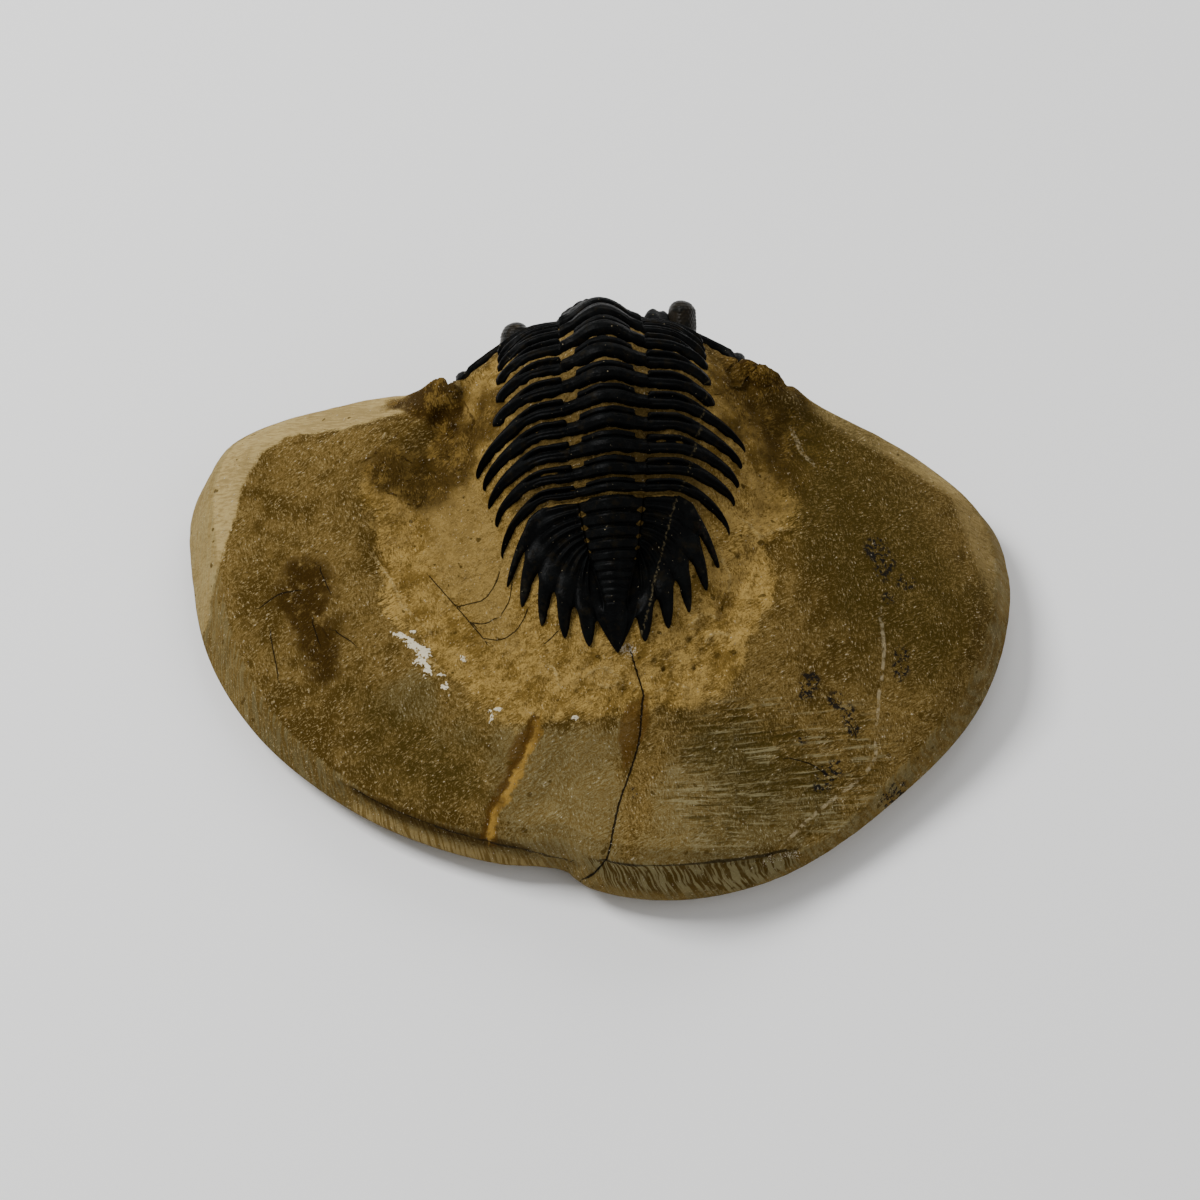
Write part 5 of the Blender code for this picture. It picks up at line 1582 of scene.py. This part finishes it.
def paint_spots(look, speckle):
    """The branching dark minerals, dots and glints, the chalky marks and the white flakes."""
    branching = look.noise(0.6, 4, 0.75).step(0.505, 0.54)
    look.coat(look.mask("dendrite").step(0.05, 0.5) * branching * 0.95, SPECK)
    look.coat(look.noise(1.1, 1, 0.4).step(0.72, 0.75, 0.0, 0.8), BROWN_DEEP)
    look.coat(look.noise(0.33, 1, 0.4).step(0.76, 0.79, 0.0, 0.18), PALE)
    chalk = (look.mask("chalk") + (speckle - 0.5) * 8.0).step(0.7, 1.1)
    look.coat(chalk * 0.75, CHALKY)
    flake = look.mask("flake")
    shredded = flake + (look.noise(0.3, 3) - 0.5) * 2.2
    look.coat(flake.step(0.02, 0.1) * shredded.step(0.36, 0.46), CREAM)


def shell_look():
    """The black shell, with worn tips, the repair line and the matrix left in pits."""
    look = Look("fossil_shell_look")
    mid, fine = look.noise(1.8, 4, 0.6), look.noise(0.3, 3, 0.6)
    look.colour = look.mix(mid.step(0.46, 0.7, 0.0, 0.35), SHELL, SHELL_GREY)
    look.coat(look.noise(1.2, 4, 0.65).step(0.52, 0.66, 0.0, 0.6), SHELL_BROWN)
    # Painted glints: small pale specks of highlight on the shell.
    look.coat(look.noise(0.28, 1, 0.4).step(0.77, 0.80) * 0.5, PALE)
    jitter = look.noise(0.7, 3, 0.65) - 0.5
    worn = (look.mask("worn") + jitter).step(0.95, 1.25)
    look.coat(worn * 0.4, look.tones(look.noise(0.9, 2), 0.5, 0.62, SHELL_WORN, SHELL_RED))
    repair = abs(look.mask("repair") + jitter * 0.55).step(0.04, 0.18, 1.0, 0.0)
    repair = repair * look.noise(0.3, 3).step(0.46, 0.58)
    look.coat(repair * 0.65, REPAIR)
    patch = (look.mask("patch") + jitter * 0.5).step(0.45, 0.6)
    look.coat(patch, look.tones(look.noise(0.5, 3), 0.4, 0.6, FILL_DEEP, FILL))
    dull = look.math("MAXIMUM", patch, look.math("MAXIMUM", repair, worn * 0.5))
    height = fine * 0.4 + look.noise(0.9, 3, 0.6) * 0.6
    return look.finish(fine.step(0.3, 0.7, 0.34, 0.5) + dull * 0.35, 0.035, height, 0.13)


def eye_look():
    look = Look("eye_look")
    look.colour = look.tones(look.noise(1.1, 3), 0.4, 0.65, EYE_BRONZE, EYE_DARK)
    # A painted highlight on the top of each lens.
    look.coat(look.mask("lens").step(0.8, 0.98) * 0.15, EYE_PALE)
    look.coat(look.noise(0.8, 3).step(0.5, 0.66) * look.mask("wear") * 0.5, EYE_PALE)
    return look.finish(look.noise(0.3).step(0.3, 0.7, 0.32, 0.5), 0.08, look.noise(0.35, 3), 0.04)


# The floor's half side and the lights' places in metres, and each light's size and power.
FLOOR_HALF = 3.0
FLOOR_COLOUR = (0.93, 0.93, 0.925, 1)
SURROUND = 0.34
LIGHTS = (
    ("key", (-0.42, 0.14, 0.55), 0.25, 5.4),
    ("fill", (0.45, -0.35, 0.50), 0.60, 1.2),
    ("back", (0.15, 0.55, 0.40), 0.50, 1.8),
)


def build_floor():
    look = Look("floor_look")
    look.shader.inputs["Base Color"].default_value = FLOOR_COLOUR
    look.shader.inputs["Roughness"].default_value = 0.9
    mesh = bpy.data.meshes.new("floor")
    corners = [(x * FLOOR_HALF, y * FLOOR_HALF, 0) for x, y in ((-1, -1), (1, -1), (1, 1), (-1, 1))]
    mesh.from_pydata(corners, [], [(0, 1, 2, 3)])
    mesh.materials.append(look.material)
    floor = add("floor", mesh)


def set_lights():
    """Soft light from above and behind on the left, two weaker lights, and a pale surround."""
    world = bpy.data.worlds.new("surround")
    bpy.context.scene.world = world
    world.use_nodes = True
    background = world.node_tree.nodes["Background"]
    background.inputs["Color"].default_value = (1, 1, 1, 1)
    background.inputs["Strength"].default_value = SURROUND
    for name, place, size, power in LIGHTS:
        light = bpy.data.lights.new(name, "AREA")
        light.size, light.energy = size, power
        lamp = add(name, light)
        lamp.location = place
        x, y, z = place
        lamp.rotation_euler = (math.atan2(math.hypot(x, y), z), 0, math.atan2(x, -y))


def set_camera():
    data = bpy.data.cameras.new("camera")
    data.sensor_width = SENSOR_MM
    data.lens = FOCAL_PIXELS / PHOTO_SIZE * SENSOR_MM
    data.clip_start = CLIP_START
    camera = add("camera", data)
    camera.location = view_axes()[0] * MM
    camera.rotation_euler = (math.pi / 2 - ELEVATION, 0, 0)
    bpy.context.scene.camera = camera


set_camera()
build_floor()
set_lights()
shell = shell_look()
build_stone(stone_look())
build_thorax(shell)
build_tail(shell)
build_head(shell)
eye_material = eye_look()
for eye in EYES:
    build_eye(*eye, eye_material)

bpy.context.view_layer.update()
